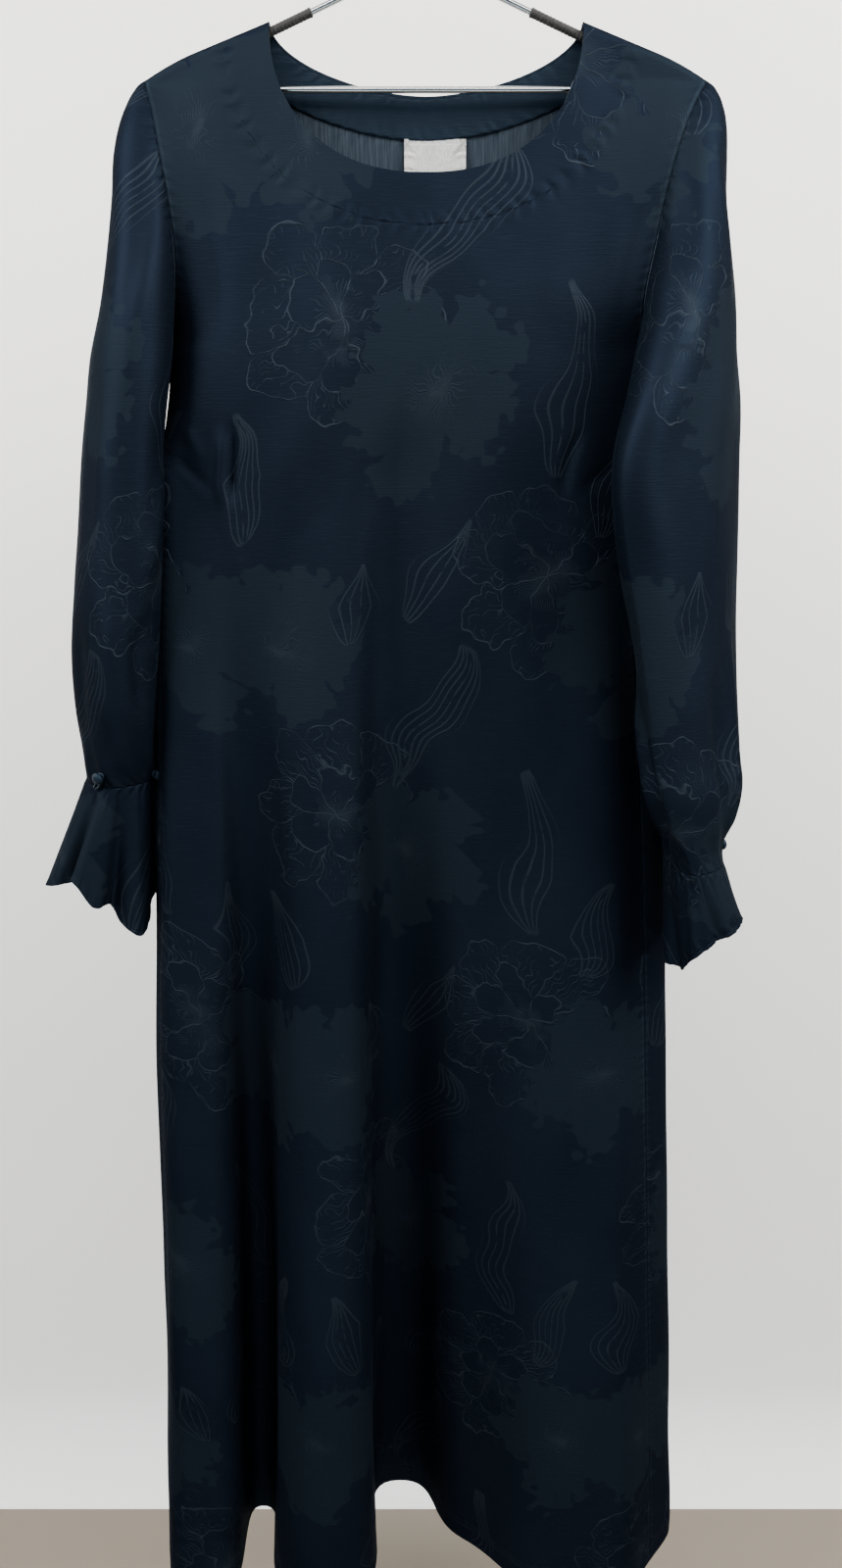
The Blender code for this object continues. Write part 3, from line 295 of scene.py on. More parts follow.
def ease(value):
    """Smooth step from 0 to 1."""
    t = np.clip(value, 0.0, 1.0)
    return t * t * (3 - 2 * t)


def unit(vectors):
    """Vectors scaled to length 1, along the last axis."""
    return vectors / np.maximum(np.linalg.norm(vectors, axis=-1, keepdims=True), 1e-12)


def hill(value, width):
    """A soft rise of height 1 round 0."""
    return np.exp(-(value / width) ** 2)


def run_of(points):
    """Length along a line of points, from its first one."""
    steps = np.linalg.norm(np.diff(points, axis=0), axis=1)
    return np.concatenate([[0], np.cumsum(steps)])


def closed_chain(points, turns, reaches):
    """A closed run of curves through points, leaving each one in its given direction."""
    points = np.array(points, float)
    heading = np.radians(np.array(turns, float))
    ways = np.stack([np.cos(heading), np.sin(heading)], axis=-1)
    reaches = np.array(reaches, float)[:, None]
    count = len(points)

    def at(position):
        position = np.asarray(position, float) % count
        low = np.floor(position).astype(int) % count
        high = (low + 1) % count
        t = (position - np.floor(position))[..., None]
        start, end = points[low], points[high]
        gap = np.linalg.norm(end - start, axis=-1, keepdims=True)
        after, before = ways[low] * reaches[low] * gap, ways[high] * reaches[high] * gap
        return (start * (1 - t) ** 3 + (start + after) * 3 * t * (1 - t) ** 2
                + (end - before) * 3 * t * t * (1 - t) + end * t ** 3)

    return at


# ------------------------------------------------------------------ surfaces of the body
body_left = track(BODY, "z", "left_x")
body_right = track(BODY, "z", "right_x")
body_front = track(BODY, "z", "front_depth")
body_back = track(BODY, "z", "back_depth")
fall = {panel: track(FALL, "drop", panel) for panel in PANELS}
chest_chain = closed_chain([(f.chest_x, f.chest_y) for f in FOLDS],
                           [f.chest_turn for f in FOLDS], [CHEST_FULLNESS] * len(FOLDS))
hem_chain = closed_chain([(f.hem_x, f.hem_y) for f in FOLDS],
                         [f.hem_turn for f in FOLDS], [f.hem_reach for f in FOLDS])


def smooth_body(shares, z):
    """The body without folds: shares of its half width and depth, at a height."""
    x = np.where(shares[..., 0] < 0, (MID_X - body_left(z)) * shares[..., 0],
                 (body_right(z) - MID_X) * shares[..., 0]) + MID_X
    y = np.where(shares[..., 1] < 0, body_front(z) * shares[..., 1],
                 body_back(z) * shares[..., 1])
    return np.stack([x, y], axis=-1)


def folded_body(position, z):
    """Plan points of the folded body, along the chain and down the height."""
    shares = chest_chain(position)
    starts = np.array([f.start for f in FOLDS] + [FOLDS[0].start])
    start = np.interp(np.asarray(position) % len(FOLDS), range(len(starts)), starts)
    growth = np.clip((start - z) / (start - HEM_Z), 0, 1)[..., None]
    return smooth_body(shares, z) + growth * (hem_chain(position) - smooth_body(shares, HEM_Z))


def shoulder_z(x):
    """Height of the shoulder line over x."""
    off = np.abs(x - MID_X)
    past = np.maximum(off - SHOULDER_ROUND_FROM, 0)
    return SHOULDER_TOP_Z - SHOULDER_SLOPE * off - SHOULDER_ROUND * past ** 2


def shoulder_up(x):
    """Upward direction of the shoulder line over x."""
    slope = np.where(x < MID_X, -SHOULDER_SLOPE, SHOULDER_SLOPE)
    return unit(np.stack([slope, 0 * slope, 1 + 0 * slope], axis=-1))


def wrap(drop):
    """Depth of the cloth where it rounds the hanger's arm."""
    inside = np.clip(drop, 0, WRAP_RADIUS)
    return np.sqrt(WRAP_RADIUS ** 2 - (WRAP_RADIUS - inside) ** 2)


def bodice(panel, x, z):
    """Points of the front or back above the underarm, over x and z."""
    way = PANELS[panel].way
    left, right = armhole("left", panel, z), armhole("right", panel, z)
    across = (x - left[..., 0]) / (right[..., 0] - left[..., 0])
    drop = np.maximum(shoulder_z(x) - z, 0)
    depth = wrap(drop) + fall[panel](drop)
    edge = left[..., 1] + (right[..., 1] - left[..., 1]) * across
    held = wrap(drop) * (1 - ease(drop / WRAP_FADE))
    edge = way * np.maximum(way * edge, held)
    squareness = np.where(across < 0.5, LEFT_SQUARENESS, RIGHT_SQUARENESS)
    crown = 1 - np.abs(2 * across - 1) ** squareness
    y = edge + (way * depth - edge) * crown
    return np.stack([x + 0 * y, y, z + 0 * y], axis=-1)


def panel_surface(panel, position, across, z):
    """Points of a panel: across it by share of the width above, along the chain below."""
    left, right = armhole("left", panel, z), armhole("right", panel, z)
    x = left[..., 0] + (right[..., 0] - left[..., 0]) * across
    upper = bodice(panel, x, z)
    plan = folded_body(position, z)
    lower = np.stack([plan[..., 0], plan[..., 1], z + 0 * x], axis=-1)
    share = ease((UNDERARM_Z - z) / (UNDERARM_Z - CHAIN_Z))[..., None]
    return upper * (1 - share) + lower * share


# ------------------------------------------------------------------ surfaces of the sleeves
SIDE = {"left": -1.0, "right": 1.0}    # along X; a sleeve's columns face the other way
RINGS = {"left": LEFT_RINGS, "right": RIGHT_RINGS}
ring_track = {side: {column: track(rows, "z", column) for column in Ring._fields[1:]}
              for side, rows in RINGS.items()}
WRIST_Z = {side: rows[-1].z for side, rows in RINGS.items()}


def tube(side, angle, z):
    """Plan points of a sleeve's tube at an angle in degrees (0 at the body, 90 in front)."""
    ring = {name: curve(z) for name, curve in ring_track[side].items()}
    opening = np.radians(ring["opening"])
    power = ring["power"]
    thick = np.abs(ring["outer_x"] - ring["inner_x"]) / (1 + np.abs(np.cos(opening)) ** power)
    angle = np.radians(angle)
    sine, cosine = np.sin(angle), np.cos(angle)
    out = -thick * np.sign(cosine) * np.abs(cosine) ** power
    front = ring["half_depth"] * np.sign(sine) * np.abs(sine) ** np.minimum(power, 1.0)
    turn = np.radians(ring["turn"])
    x = ring["outer_x"] - SIDE[side] * thick
    x = x + SIDE[side] * (out * np.cos(turn) - front * np.sin(turn))
    y = ring["mid_y"] - (front * np.cos(turn) + out * np.sin(turn))
    return np.stack([x, y], axis=-1)


def sleeve_surface(side, share, z):
    """Points of a sleeve: round it from the front of the armhole to its back, and down."""
    opening = ring_track[side]["opening"](z)
    angle = opening + (360 - 2 * opening) * share
    plan = tube(side, angle, z)
    return np.stack([plan[..., 0], plan[..., 1], z + 0 * plan[..., 0]], axis=-1)


def armhole(side, panel, z):
    """The armhole's edge on a panel; below the underarm it stays at its lowest point."""
    held = np.clip(z, UNDERARM_Z, TIP_Z)
    point = sleeve_surface(side, 0.0 if panel == "front" else 1.0, held)
    off = np.where(z > TIP_Z, 0.0, point[..., 1])
    return np.stack([point[..., 0], off], axis=-1)


def frill_surface(side, angle, share):
    """Points of a frill: round the wrist and down its slant."""
    top = tube(side, angle, WRIST_Z[side])
    plan = FRILLS[side]
    turn = np.radians(angle)
    dent = sum(f.depth * np.exp(-(((angle - f.angle + 180) % 360 - 180) / f.half_width) ** 2)
               for f in FLUTES[side])
    edge_x = plan.mid_x - SIDE[side] * (plan.half_x - dent) * np.cos(turn)
    edge_y = plan.mid_y - (plan.half_y - dent) * np.sin(turn)
    edge_z = track(FRILL_EDGES, "angle", side + "_z")(angle % 360)
    x = top[..., 0] + (edge_x - top[..., 0]) * share
    y = top[..., 1] + (edge_y - top[..., 1]) * share
    z = WRIST_Z[side] + (edge_z - WRIST_Z[side]) * share
    return np.stack([x, y, z + 0 * x], axis=-1)


# ------------------------------------------------------------------ shells
SHELL_SHARP = math.radians(70)     # an edge that turns more than this stays crisp


def grid_normals(points, facing, closed=False):
    """Outward normals of a grid of points; facing is -1 where the columns run the other way."""
    if closed:
        ring = points[:, :-1]
        around = np.roll(ring, -1, axis=1) - np.roll(ring, 1, axis=1)
        around = np.concatenate([around, around[:, :1]], axis=1)
    else:
        around = np.gradient(points, axis=1)
    return unit(np.cross(around, np.gradient(points, axis=0))) * facing


def cloth_shell(name, sheet, wall, paints, facing, sewn_from=None):
    """A thin wall of cloth on a sheet's points, its outer side first.

    The map "cloth" holds the flat coordinates in metres, and the attribute "seams" the nearest
    seam's distance, run and strength.  From the row sewn_from down, the first and last columns
    are one and the same.
    """
    rows, columns = sheet.points.shape[:2]
    outer = sheet.points.reshape(-1, 3)
    inner = (sheet.points - sheet.normals * wall).reshape(-1, 3)
    count = rows * columns
    spots = np.arange(count).reshape(rows, columns)
    a, b = spots[:-1, :-1].ravel(), spots[:-1, 1:].ravel()
    c, d = spots[1:, 1:].ravel(), spots[1:, :-1].ravel()
    front = np.stack([a, d, c, b] if facing < 0 else [a, b, c, d], axis=1)
    rims = [(spots[0, :-1], spots[0, 1:]), (spots[-1, 1:], spots[-1, :-1])]
    open_rows = rows if sewn_from is None else sewn_from + 1
    rims.append((spots[1:open_rows, 0], spots[:open_rows - 1, 0]))
    rims.append((spots[:open_rows - 1, -1], spots[1:open_rows, -1]))
    walls = [np.stack([s, s + count, e + count, e] if facing > 0
                      else [e, e + count, s + count, s], axis=1) for s, e in rims]
    faces = np.concatenate([front, front[:, ::-1] + count] + walls)
    mesh = bpy.data.meshes.new(name)
    mesh.from_pydata(np.concatenate([outer, inner]).tolist(), [], faces.tolist())
    place = np.concatenate([sheet.flat.reshape(-1, 2)] * 2)[faces.ravel()]
    layer = mesh.uv_layers.new(name="cloth")
    layer.uv.foreach_set("vector", place.astype(np.float32).ravel())
    sewn = np.concatenate([sheet.seams.reshape(-1, 3)] * 2)[faces.ravel()]
    layer = mesh.attributes.new("seams", "FLOAT_VECTOR", "CORNER")
    layer.data.foreach_set("vector", sewn.astype(np.float32).ravel())
    for paint in paints:
        mesh.materials.append(paint)
    if len(paints) > 1:
        slots = np.zeros(len(faces), np.int32)
        slots[len(front):2 * len(front)] = 1
        mesh.polygons.foreach_set("material_index", slots)
    if sewn_from is not None:
        join_columns(mesh, sewn_from, spots, count)
    mesh.shade_smooth()
    mesh.set_sharp_from_angle(angle=SHELL_SHARP)
    made = bpy.data.objects.new(name, mesh)
    bpy.context.collection.objects.link(made)
    return made


def join_columns(mesh, sewn_from, spots, count):
    """Merge the first and last columns of both sheets from one row down."""
    work = bmesh.new()
    work.from_mesh(mesh)
    work.verts.ensure_lookup_table()
    pairs = {}
    for row in spots[sewn_from:]:
        for step in (0, count):
            pairs[work.verts[row[-1] + step]] = work.verts[row[0] + step]
    bmesh.ops.weld_verts(work, targetmap=pairs)
    work.to_mesh(mesh)
    work.free()


def run_along(points):
    """Length along each row of a grid, from its first column."""
    steps = np.linalg.norm(np.diff(points, axis=1), axis=-1)
    return np.concatenate([np.zeros((len(points), 1)), np.cumsum(steps, axis=1)], axis=1)


# ------------------------------------------------------------------ creases
# Each crease runs over the flat cloth from one place to another, with a bow to its side.
# depth is outwards for a ridge and negative for a trough.
Crease = namedtuple("Crease", "u v to_u to_v bow width depth")
CREASES = {
    "front": (
        Crease(-0.1340, -0.381, -0.1290, -0.452, 0.0035, 0.0032, -0.0050),
        Crease(-0.1420, -0.385, -0.1370, -0.455, 0.0030, 0.0050, 0.0032),
        Crease(-0.1800, -0.408, -0.1400, -0.440, 0.0020, 0.0040, -0.0016),
        Crease(-0.1720, -0.388, -0.1480, -0.420, 0.0020, 0.0045, 0.0014),
        Crease(0.1330, -0.386, 0.1290, -0.446, -0.0030, 0.0038, -0.0022),
        Crease(0.1760, -0.412, 0.1400, -0.438, -0.0020, 0.0045, -0.0012),
        Crease(-0.1680, -0.210, -0.1500, -0.330, 0.0040, 0.0080, -0.0016),
        Crease(-0.1550, -0.190, -0.1200, -0.300, 0.0060, 0.0120, 0.0014),
        Crease(0.1650, -0.215, 0.1450, -0.330, -0.0050, 0.0090, -0.0018),
        Crease(0.1180, -0.210, 0.0900, -0.330, -0.0080, 0.0140, 0.0012),
        Crease(-0.0700, -0.250, -0.0850, -0.470, 0.0060, 0.0220, 0.0018),
        Crease(-0.0050, -0.330, -0.0160, -0.640, 0.0050, 0.0150, -0.0026),
        Crease(0.0400, -0.420, 0.0450, -0.720, 0.0060, 0.0220, 0.0020),
        Crease(0.0900, -0.520, 0.1100, -0.820, 0.0060, 0.0260, -0.0018),
        Crease(0.1500, -0.700, 0.1750, -1.050, -0.0080, 0.0300, 0.0022),
        Crease(-0.1450, -0.520, -0.1500, -0.800, 0.0050, 0.0180, -0.0024),
        Crease(-0.1100, -0.560, -0.1150, -0.780, 0.0050, 0.0160, 0.0018),
        Crease(0.2200, -1.000, 0.2400, -1.330, 0.0100, 0.0260, -0.0020),
        Crease(-0.1500, -1.020, -0.1600, -1.300, 0.0060, 0.0220, 0.0020),
    ),
    "back": (
        Crease(-0.1500, -0.200, -0.1250, -0.360, 0.0050, 0.0120, -0.0018),
        Crease(0.1500, -0.200, 0.1250, -0.360, -0.0050, 0.0120, -0.0018),
        Crease(-0.0600, -0.230, -0.0700, -0.430, 0.0080, 0.0200, 0.0016),
        Crease(0.0500, -0.240, 0.0620, -0.470, -0.0080, 0.0220, 0.0016),
        Crease(0.0000, -0.300, -0.0050, -0.560, 0.0050, 0.0180, -0.0020),
        Crease(-0.0450, -0.500, -0.0600, -0.820, 0.0060, 0.0220, 0.0020),
        Crease(0.0900, -0.520, 0.1050, -0.830, -0.0060, 0.0220, -0.0022),
        Crease(-0.1300, -0.540, -0.1400, -0.860, 0.0060, 0.0200, -0.0022),
        Crease(0.1500, -0.700, 0.1700, -1.020, 0.0060, 0.0260, 0.0020),
        Crease(-0.2000, -0.900, -0.2200, -1.250, 0.0060, 0.0260, 0.0022),
        Crease(0.0300, -0.950, 0.0350, -1.300, 0.0060, 0.0240, -0.0022),
    ),
    "left": (
        Crease(0.0500, -0.200, 0.0600, -0.330, 0.0050, 0.0090, -0.0016),
        Crease(0.0600, -0.240, 0.0700, -0.380, 0.0040, 0.0070, 0.0016),
        Crease(0.0350, -0.330, 0.0420, -0.500, 0.0040, 0.0110, -0.0022),
        Crease(0.1180, -0.395, 0.0900, -0.520, 0.0080, 0.0100, 0.0030),
        Crease(0.0980, -0.520, 0.1050, -0.620, -0.0060, 0.0090, -0.0045),
        Crease(0.0700, -0.500, 0.0620, -0.640, 0.0060, 0.0090, 0.0030),
        Crease(0.0350, -0.520, 0.0280, -0.650, 0.0040, 0.0100, -0.0025),
        Crease(-0.0450, -0.260, -0.0550, -0.420, 0.0060, 0.0120, 0.0020),
        Crease(-0.0700, -0.420, -0.0550, -0.600, 0.0060, 0.0120, -0.0028),
        Crease(-0.1000, -0.480, -0.0850, -0.630, 0.0060, 0.0100, 0.0026),
    ),
    "right": (
        Crease(-0.0550, -0.200, -0.0600, -0.330, -0.0050, 0.0110, -0.0018),
        Crease(-0.0300, -0.185, -0.0250, -0.320, 0.0040, 0.0090, 0.0020),
        Crease(-0.0750, -0.330, -0.0600, -0.500, -0.0060, 0.0140, 0.0022),
        Crease(-0.0400, -0.420, -0.0450, -0.600, 0.0060, 0.0140, -0.0022),
        Crease(-0.1080, -0.560, -0.0760, -0.715, -0.0060, 0.0060, 0.0055),
        Crease(-0.0950, -0.570, -0.0640, -0.715, -0.0060, 0.0055, -0.0055),
        Crease(-0.0200, -0.560, -0.0120, -0.715, 0.0060, 0.0080, -0.0045),
        Crease(0.0100, -0.520, 0.0040, -0.715, 0.0050, 0.0085, 0.0042),
        Crease(0.0600, -0.260, 0.0720, -0.430, 0.0060, 0.0130, 0.0022),
        Crease(0.0900, -0.430, 0.0700, -0.620, 0.0060, 0.0130, -0.0028),
    ),
}


CREASE_FADE = 0.35         # share of its length over which each end of a crease fades
WAVES = 7                  # waves that make the cloth's unevenness
WAVE_LEAN = 0.35           # the most that one leans
WAVES_TO_SIZE = 0.7, 1.6   # the fewest and the most waves to one size
WAVE_BEND = 1.1            # how fast a wave bends down the cloth


def crease_height(creases, u, v):
    """Height of the listed creases over the flat cloth."""
    height = np.zeros_like(u)
    for crease in creases:
        along = np.array([crease.to_u - crease.u, crease.to_v - crease.v])
        length = np.hypot(*along)
        along = along / length
        du, dv = u - crease.u, v - crease.v
        t = (du * along[0] + dv * along[1]) / length
        off = dv * along[0] - du * along[1] - crease.bow * 4 * t * (1 - t)
        fade = ease(t / CREASE_FADE) * ease((1 - t) / CREASE_FADE)
        height += crease.depth * hill(off, crease.width) * fade
    return height


def soft_waves(u, v, size, seed):
    """Slow unevenness of hanging cloth, about one unit high."""
    draw = np.random.default_rng(seed)
    height = np.zeros_like(u)
    for _ in range(WAVES):
        lean = draw.uniform(-WAVE_LEAN, WAVE_LEAN)
        across = draw.uniform(*WAVES_TO_SIZE) / size
        phase, drift = draw.uniform(0, 2 * math.pi, 2)
        bend = np.sin(v * across * WAVE_BEND + drift)
        height += np.sin((u + lean * v) * across * 2 * math.pi + phase + bend)
    return height / 4


# ------------------------------------------------------------------ the neck
NECK_TRIAL_STEPS, NECK_STEPS = 4001, 500     # points that measure the neck's edge


def neck_curve(panel, angle, widen):
    """Points (x, z) of the neck's edge, or of a line this far outside it."""
    row = PANELS[panel]
    left, right = NECK_LEFT_X - widen, NECK_RIGHT_X + widen
    cosine, share = np.cos(angle), 2 / row.neck_power
    x = (left + right) / 2 - (right - left) / 2 * np.sign(cosine) * np.abs(cosine) ** share
    ends = shoulder_z(left), shoulder_z(right)
    top = ends[0] + (ends[1] - ends[0]) * (x - left) / (right - left)
    return x, top - (top - row.neck_z + widen) * np.abs(np.sin(angle)) ** share


def neck_angles(panel, count):
    """Angles that step evenly along the neck's edge, over the hanger's arms and down."""
    angle = np.linspace(0, math.pi, NECK_TRIAL_STEPS)
    run = run_of(bodice(panel, *neck_curve(panel, angle, 0.0)))
    return np.interp(np.linspace(0, run[-1], count), run, angle)


def from_neck(panel, x, z):
    """Distance from the neck's edge and length along it, over x and z."""
    edge = np.stack(neck_curve(panel, neck_angles(panel, NECK_STEPS), 0.0), axis=-1)
    gaps = np.hypot(x[..., None] - edge[:, 0], z[..., None] - edge[:, 1])
    return gaps.min(axis=-1), run_of(edge)[gaps.argmin(axis=-1)]


# ------------------------------------------------------------------ front and back
Sheet = namedtuple("Sheet", "points normals flat seams")
# How much a seam puckers the cloth beside it.  A plain seam also has a painted highlight along its
# edge.
GATHER, STITCH, PLAIN = 1.0, 0.75, 0.35
HEM_STITCH = 0.020         # from the hem up to its stitches
NO_SEAM = 1.0              # a distance that no seam is seen at
SLACK_Z = -0.30            # the cloth hangs free of the shoulders from here down
SLACK_FADE = 0.4           # height over which it comes free
RUN_FADE = 0.15            # height over which u turns from x into the length along the folds
# Creases fade out this close to what holds the cloth still.
SEAM_FADE, NECK_FADE, SHOULDER_FADE, HEM_FADE = 0.022, 0.020, 0.030, 0.020
NECK_STILL = 0.004         # no crease this close to the neck's edge
UNEVEN, UNEVEN_SIZE = 0.0008, 0.13     # height and width of the cloth's small unevenness
WANDER, WANDER_SIZE = 0.0015, 0.21     # and of the slow one, where it hangs free


def nearest_seam(*seams):
    """For each place, the distance, run and strength of the nearest of several seams."""
    shape = np.broadcast_shapes(*[np.shape(part) for seam in seams for part in seam])
    full = np.array([[np.broadcast_to(part, shape) for part in seam] for seam in seams])
    best = full[:, 0].argmin(axis=0)
    return np.stack([np.take_along_axis(full[:, k], best[None], 0)[0] for k in range(3)], -1)


def panel_rows():
    """Shares down to the underarm, and heights from there to the hem."""
    upper = np.linspace(0, 1, UPPER_ROWS) ** ROWS_CLOSER_AT_TOP
    steps = np.ones(LOWER_ROWS)
    steps[:CHEST_ROWS] = CHEST_ROW_SHARE
    steps[-HEM_ROWS:] = HEM_ROW_SHARE
    down = np.cumsum(steps) / steps.sum()
    return upper, UNDERARM_Z + (HEM_Z - UNDERARM_Z) * down


def panel_sheet(panel):
    """The front or the back, from left to right and from the top down, with its creases."""
    row = PANELS[panel]
    columns = row.columns
    first_fold = 0 if panel == "front" else len(FOLDS)
    position = np.linspace(first_fold, FRONT_SEGMENTS, columns + 1)
    run = run_of(smooth_body(chest_chain(position), UNDERARM_Z))
    across = run / run[-1]
    near = round(columns * SHOULDER_SHARE)
    tips = [armhole(side, panel, np.array(TIP_Z))[0] for side in SIDE]
    left_x = np.linspace(tips[0], NECK_LEFT_X, near + 1)
    right_x = np.linspace(NECK_RIGHT_X, tips[1], near + 1)
    neck_x, neck_z = neck_curve(panel, neck_angles(panel, columns - 2 * near + 1), 0.0)
    top_x = np.concatenate([left_x[:-1], neck_x, right_x[1:]])
    top_z = np.concatenate([shoulder_z(left_x[:-1]), neck_z, shoulder_z(right_x[1:])])
    top_z[0] = top_z[-1] = TIP_Z
    left, right = (armhole(side, panel, top_z)[:, 0] for side in SIDE)
    top_across = (top_x - left) / (right - left)

    upper, lower = panel_rows()
    points = np.array(
        [panel_surface(panel, position, top_across + (across - top_across) * share,
                       top_z + (UNDERARM_Z - top_z) * share) for share in upper]
        + [panel_surface(panel, position, across, np.full(columns + 1, z)) for z in lower])
    normals = grid_normals(points, row.way)

    z = points[..., 2]
    length = run_along(points)
    middle = np.argmin(np.abs(across - 0.5))
    share = ease((SLACK_Z - z) / RUN_FADE)
    u = (points[..., 0] - MID_X) * (1 - share) + (length - length[:, middle:middle + 1]) * share
    u = u * -row.way
    off_neck, neck_run = from_neck(panel, points[..., 0], z)
    from_right = length[:, -1:] - length
    neck_stitch = np.where(z > UNDERARM_Z, np.abs(off_neck - row.facing_width), NO_SEAM)
    seams = nearest_seam((neck_stitch, neck_run, STITCH), (length, z, PLAIN),
                         (from_right, z, PLAIN), (np.abs(z - HEM_Z - HEM_STITCH), u, PLAIN))

    free = ease(np.minimum(length, from_right) / SEAM_FADE)
    free = free * ease((off_neck - NECK_STILL) / NECK_FADE)
    free = free * ease((shoulder_z(points[..., 0]) - z) / SHOULDER_FADE)
    height = crease_height(CREASES[panel], u, z)
    height += UNEVEN * soft_waves(u, z, UNEVEN_SIZE, row.seeds[0])
    points = points + normals * (height * free)[..., None]
    slack = np.where(z > SLACK_Z, 0, ease((SLACK_Z - z) / SLACK_FADE))
    slack = slack * ease((z - HEM_Z) / HEM_FADE)
    wander = WANDER * soft_waves(u, z, WANDER_SIZE, row.seeds[1])
    points = points + normals * (wander * slack * free)[..., None]
    normals = share_edges(points, grid_normals(points, row.way), near)
    return Sheet(points, normals, np.stack([u, z], -1), seams)


def share_edges(points, normals, near):
    """Normals that the front and back agree on at the shoulder and the armholes."""
    for column, side in ((0, "left"), (-1, "right")):
        normals[:UPPER_ROWS, column] = armhole_normal(points[:UPPER_ROWS, column], side)
    up = shoulder_up(points[0, :, 0])
    normals[0, :near + 1] = up[:near + 1]
    normals[0, -near - 1:] = up[-near - 1:]
    return normals


# An armhole's edge faces away from its middle, this far out and this share up and down.
SEAM_OUT, SEAM_UPRIGHT = 0.010, 0.5


def armhole_normal(points, side):
    """Outward direction along the armhole's seam, shared by the pieces that meet there."""
    middle = np.array([0.0, points[..., 1].mean(), (TIP_Z + UNDERARM_Z) / 2])
    away = points - middle
    away[..., 0] = SIDE[side] * SEAM_OUT
    away[..., 2] *= SEAM_UPRIGHT
    return unit(away)


FACING_COLUMNS, FACING_ROWS = 120, 16
FACING_LIFT = 0.0003       # height of the puckers along a facing's free edge
FACING_PUCKER_REACH = 0.008
FACING_PUCKERS = ((0.0093, 1.0), (0.0151, 0.5))      # their steps along it, and shares
EDGE_STITCH = 0.0025       # from a facing's or the label's edge in to its stitches


def neck_facing(panel):
    """A facing on the inside of a panel's neck, its seen side first."""
    row = PANELS[panel]
    angle = neck_angles(panel, FACING_COLUMNS + 1)
    near, far = (np.stack(neck_curve(panel, angle, widen), axis=-1)
                 for widen in (0.0, row.facing_width))
    shares = np.linspace(0, 1, FACING_ROWS)
    lines = [near + (far - near) * share for share in shares]
    points = np.array([bodice(panel, line[:, 0], line[:, 1]) for line in lines])
    outward = grid_normals(points, row.way)
    outward[:, (0, -1)] = shoulder_up(points[:, (0, -1), 0])
    off = row.facing_width * shares[:, None] + np.zeros(FACING_COLUMNS + 1)
    along = run_of(points[0]) + np.zeros_like(off)
    pucker = sum(share * np.sin(along / step * 2 * math.pi) for step, share in FACING_PUCKERS)
    lift = FACING_LIFT * pucker * hill(row.facing_width - off, FACING_PUCKER_REACH)
    points = points - outward * (CLOTH + LAYER_GAP + FACING_CLOTH + np.abs(lift))[..., None]
    to_seam = np.minimum(np.abs(off - EDGE_STITCH), row.facing_width - off)
    seams = np.stack([to_seam, along, np.full_like(off, STITCH)], -1)
    return Sheet(points, -outward, np.stack([points[..., 0], points[..., 2]], -1), seams)


LABEL_COLUMNS, LABEL_ROWS = 30, 32
LABEL_TUCK = 0.0012        # how far the label goes up under the facing's edge
SIDE_STITCH = 0.0022       # from the label's sides in to their stitches
LABEL_BULGE, BULGE_PHASE, BULGE_GROWTH = 0.0009, 0.6, 2.5     # one wave across the label
LABEL_CURL, SIDE_CURL, SIDE_CURL_REACH = 0.0016, 0.0006, 0.003   # of its foot and its sides


def neck_label():
    """The bare label inside the back, sewn under the facing's edge, a little curled."""
    across = np.linspace(-0.5, 0.5, LABEL_COLUMNS + 1)
    top = PANELS["back"].neck_z - PANELS["back"].facing_width + LABEL_TUCK
    down = np.linspace(0, 1, LABEL_ROWS + 1)[:, None]
    x = LABEL_MID_X + across * LABEL_WIDTH
    points = np.array([bodice("back", x, np.full(len(x), top - LABEL_HEIGHT * share))
                       for share in down[:, 0]])
    outward = grid_normals(points, 1)
    off_side = (0.5 - np.abs(across)) * LABEL_WIDTH + 0 * down
    off_top = LABEL_HEIGHT * down + 0 * across
    bulge = LABEL_BULGE * np.sin(across * math.pi * 2 + BULGE_PHASE) * ease(down * BULGE_GROWTH)
    curl = LABEL_CURL * down ** 2 + SIDE_CURL * hill(off_side, SIDE_CURL_REACH)
    points = points - outward * (CLOTH + LAYER_GAP + FACING_CLOTH
                                 + np.abs(bulge) + curl)[..., None]
    seams = nearest_seam((np.abs(off_side - SIDE_STITCH), points[..., 2], STITCH),
                         (np.abs(off_top - EDGE_STITCH), points[..., 0], STITCH))
    flat = np.stack([across * LABEL_WIDTH + 0 * down, -off_top], -1)
    return Sheet(points, -outward, flat, seams)


# ------------------------------------------------------------------ sleeves and frills
ARMHOLE_FADE, WRIST_FADE, TIP_FADE = 0.02, 0.012, 0.02
SLEEVE_UNEVEN, SLEEVE_UNEVEN_SIZE = 0.0011, 0.10
SLEEVE_SEEDS = {"left": 11, "right": 12}
GATHER_STEP, GATHER_HEIGHT, GATHER_REACH = 0.024, 0.0010, 0.045
GATHER_RISE = 0.002        # the sleeve's gathers are highest this far above the wrist
FRILL_STITCH = 0.004       # from a frill's hem up to its stitches
# Waves round a frill, at its gathered top and at its hem, with their height and reach.
Wave = namedtuple("Wave", "count phase share")
FRILL_GATHERS = Wave(23, 1.0, 1.0), Wave(37, 2.2, 0.7)
FRILL_GATHER, FRILL_GATHER_REACH = 0.00035, 0.022
FRILL_FLUTTERS = Wave(31, 0.4, 1.0), Wave(53, 0.0, 0.8)
FLUTTER, FLUTTER_REACH = 0.0003, 0.008
FRILL_TOP_FADE = 0.006     # no gathers on the seam itself
ROLL, ROLL_UP, ROLL_WIDTH, ROLL_FADE = 0.0005, 0.0015, 0.0016, 0.02      # the hem's rolled edge


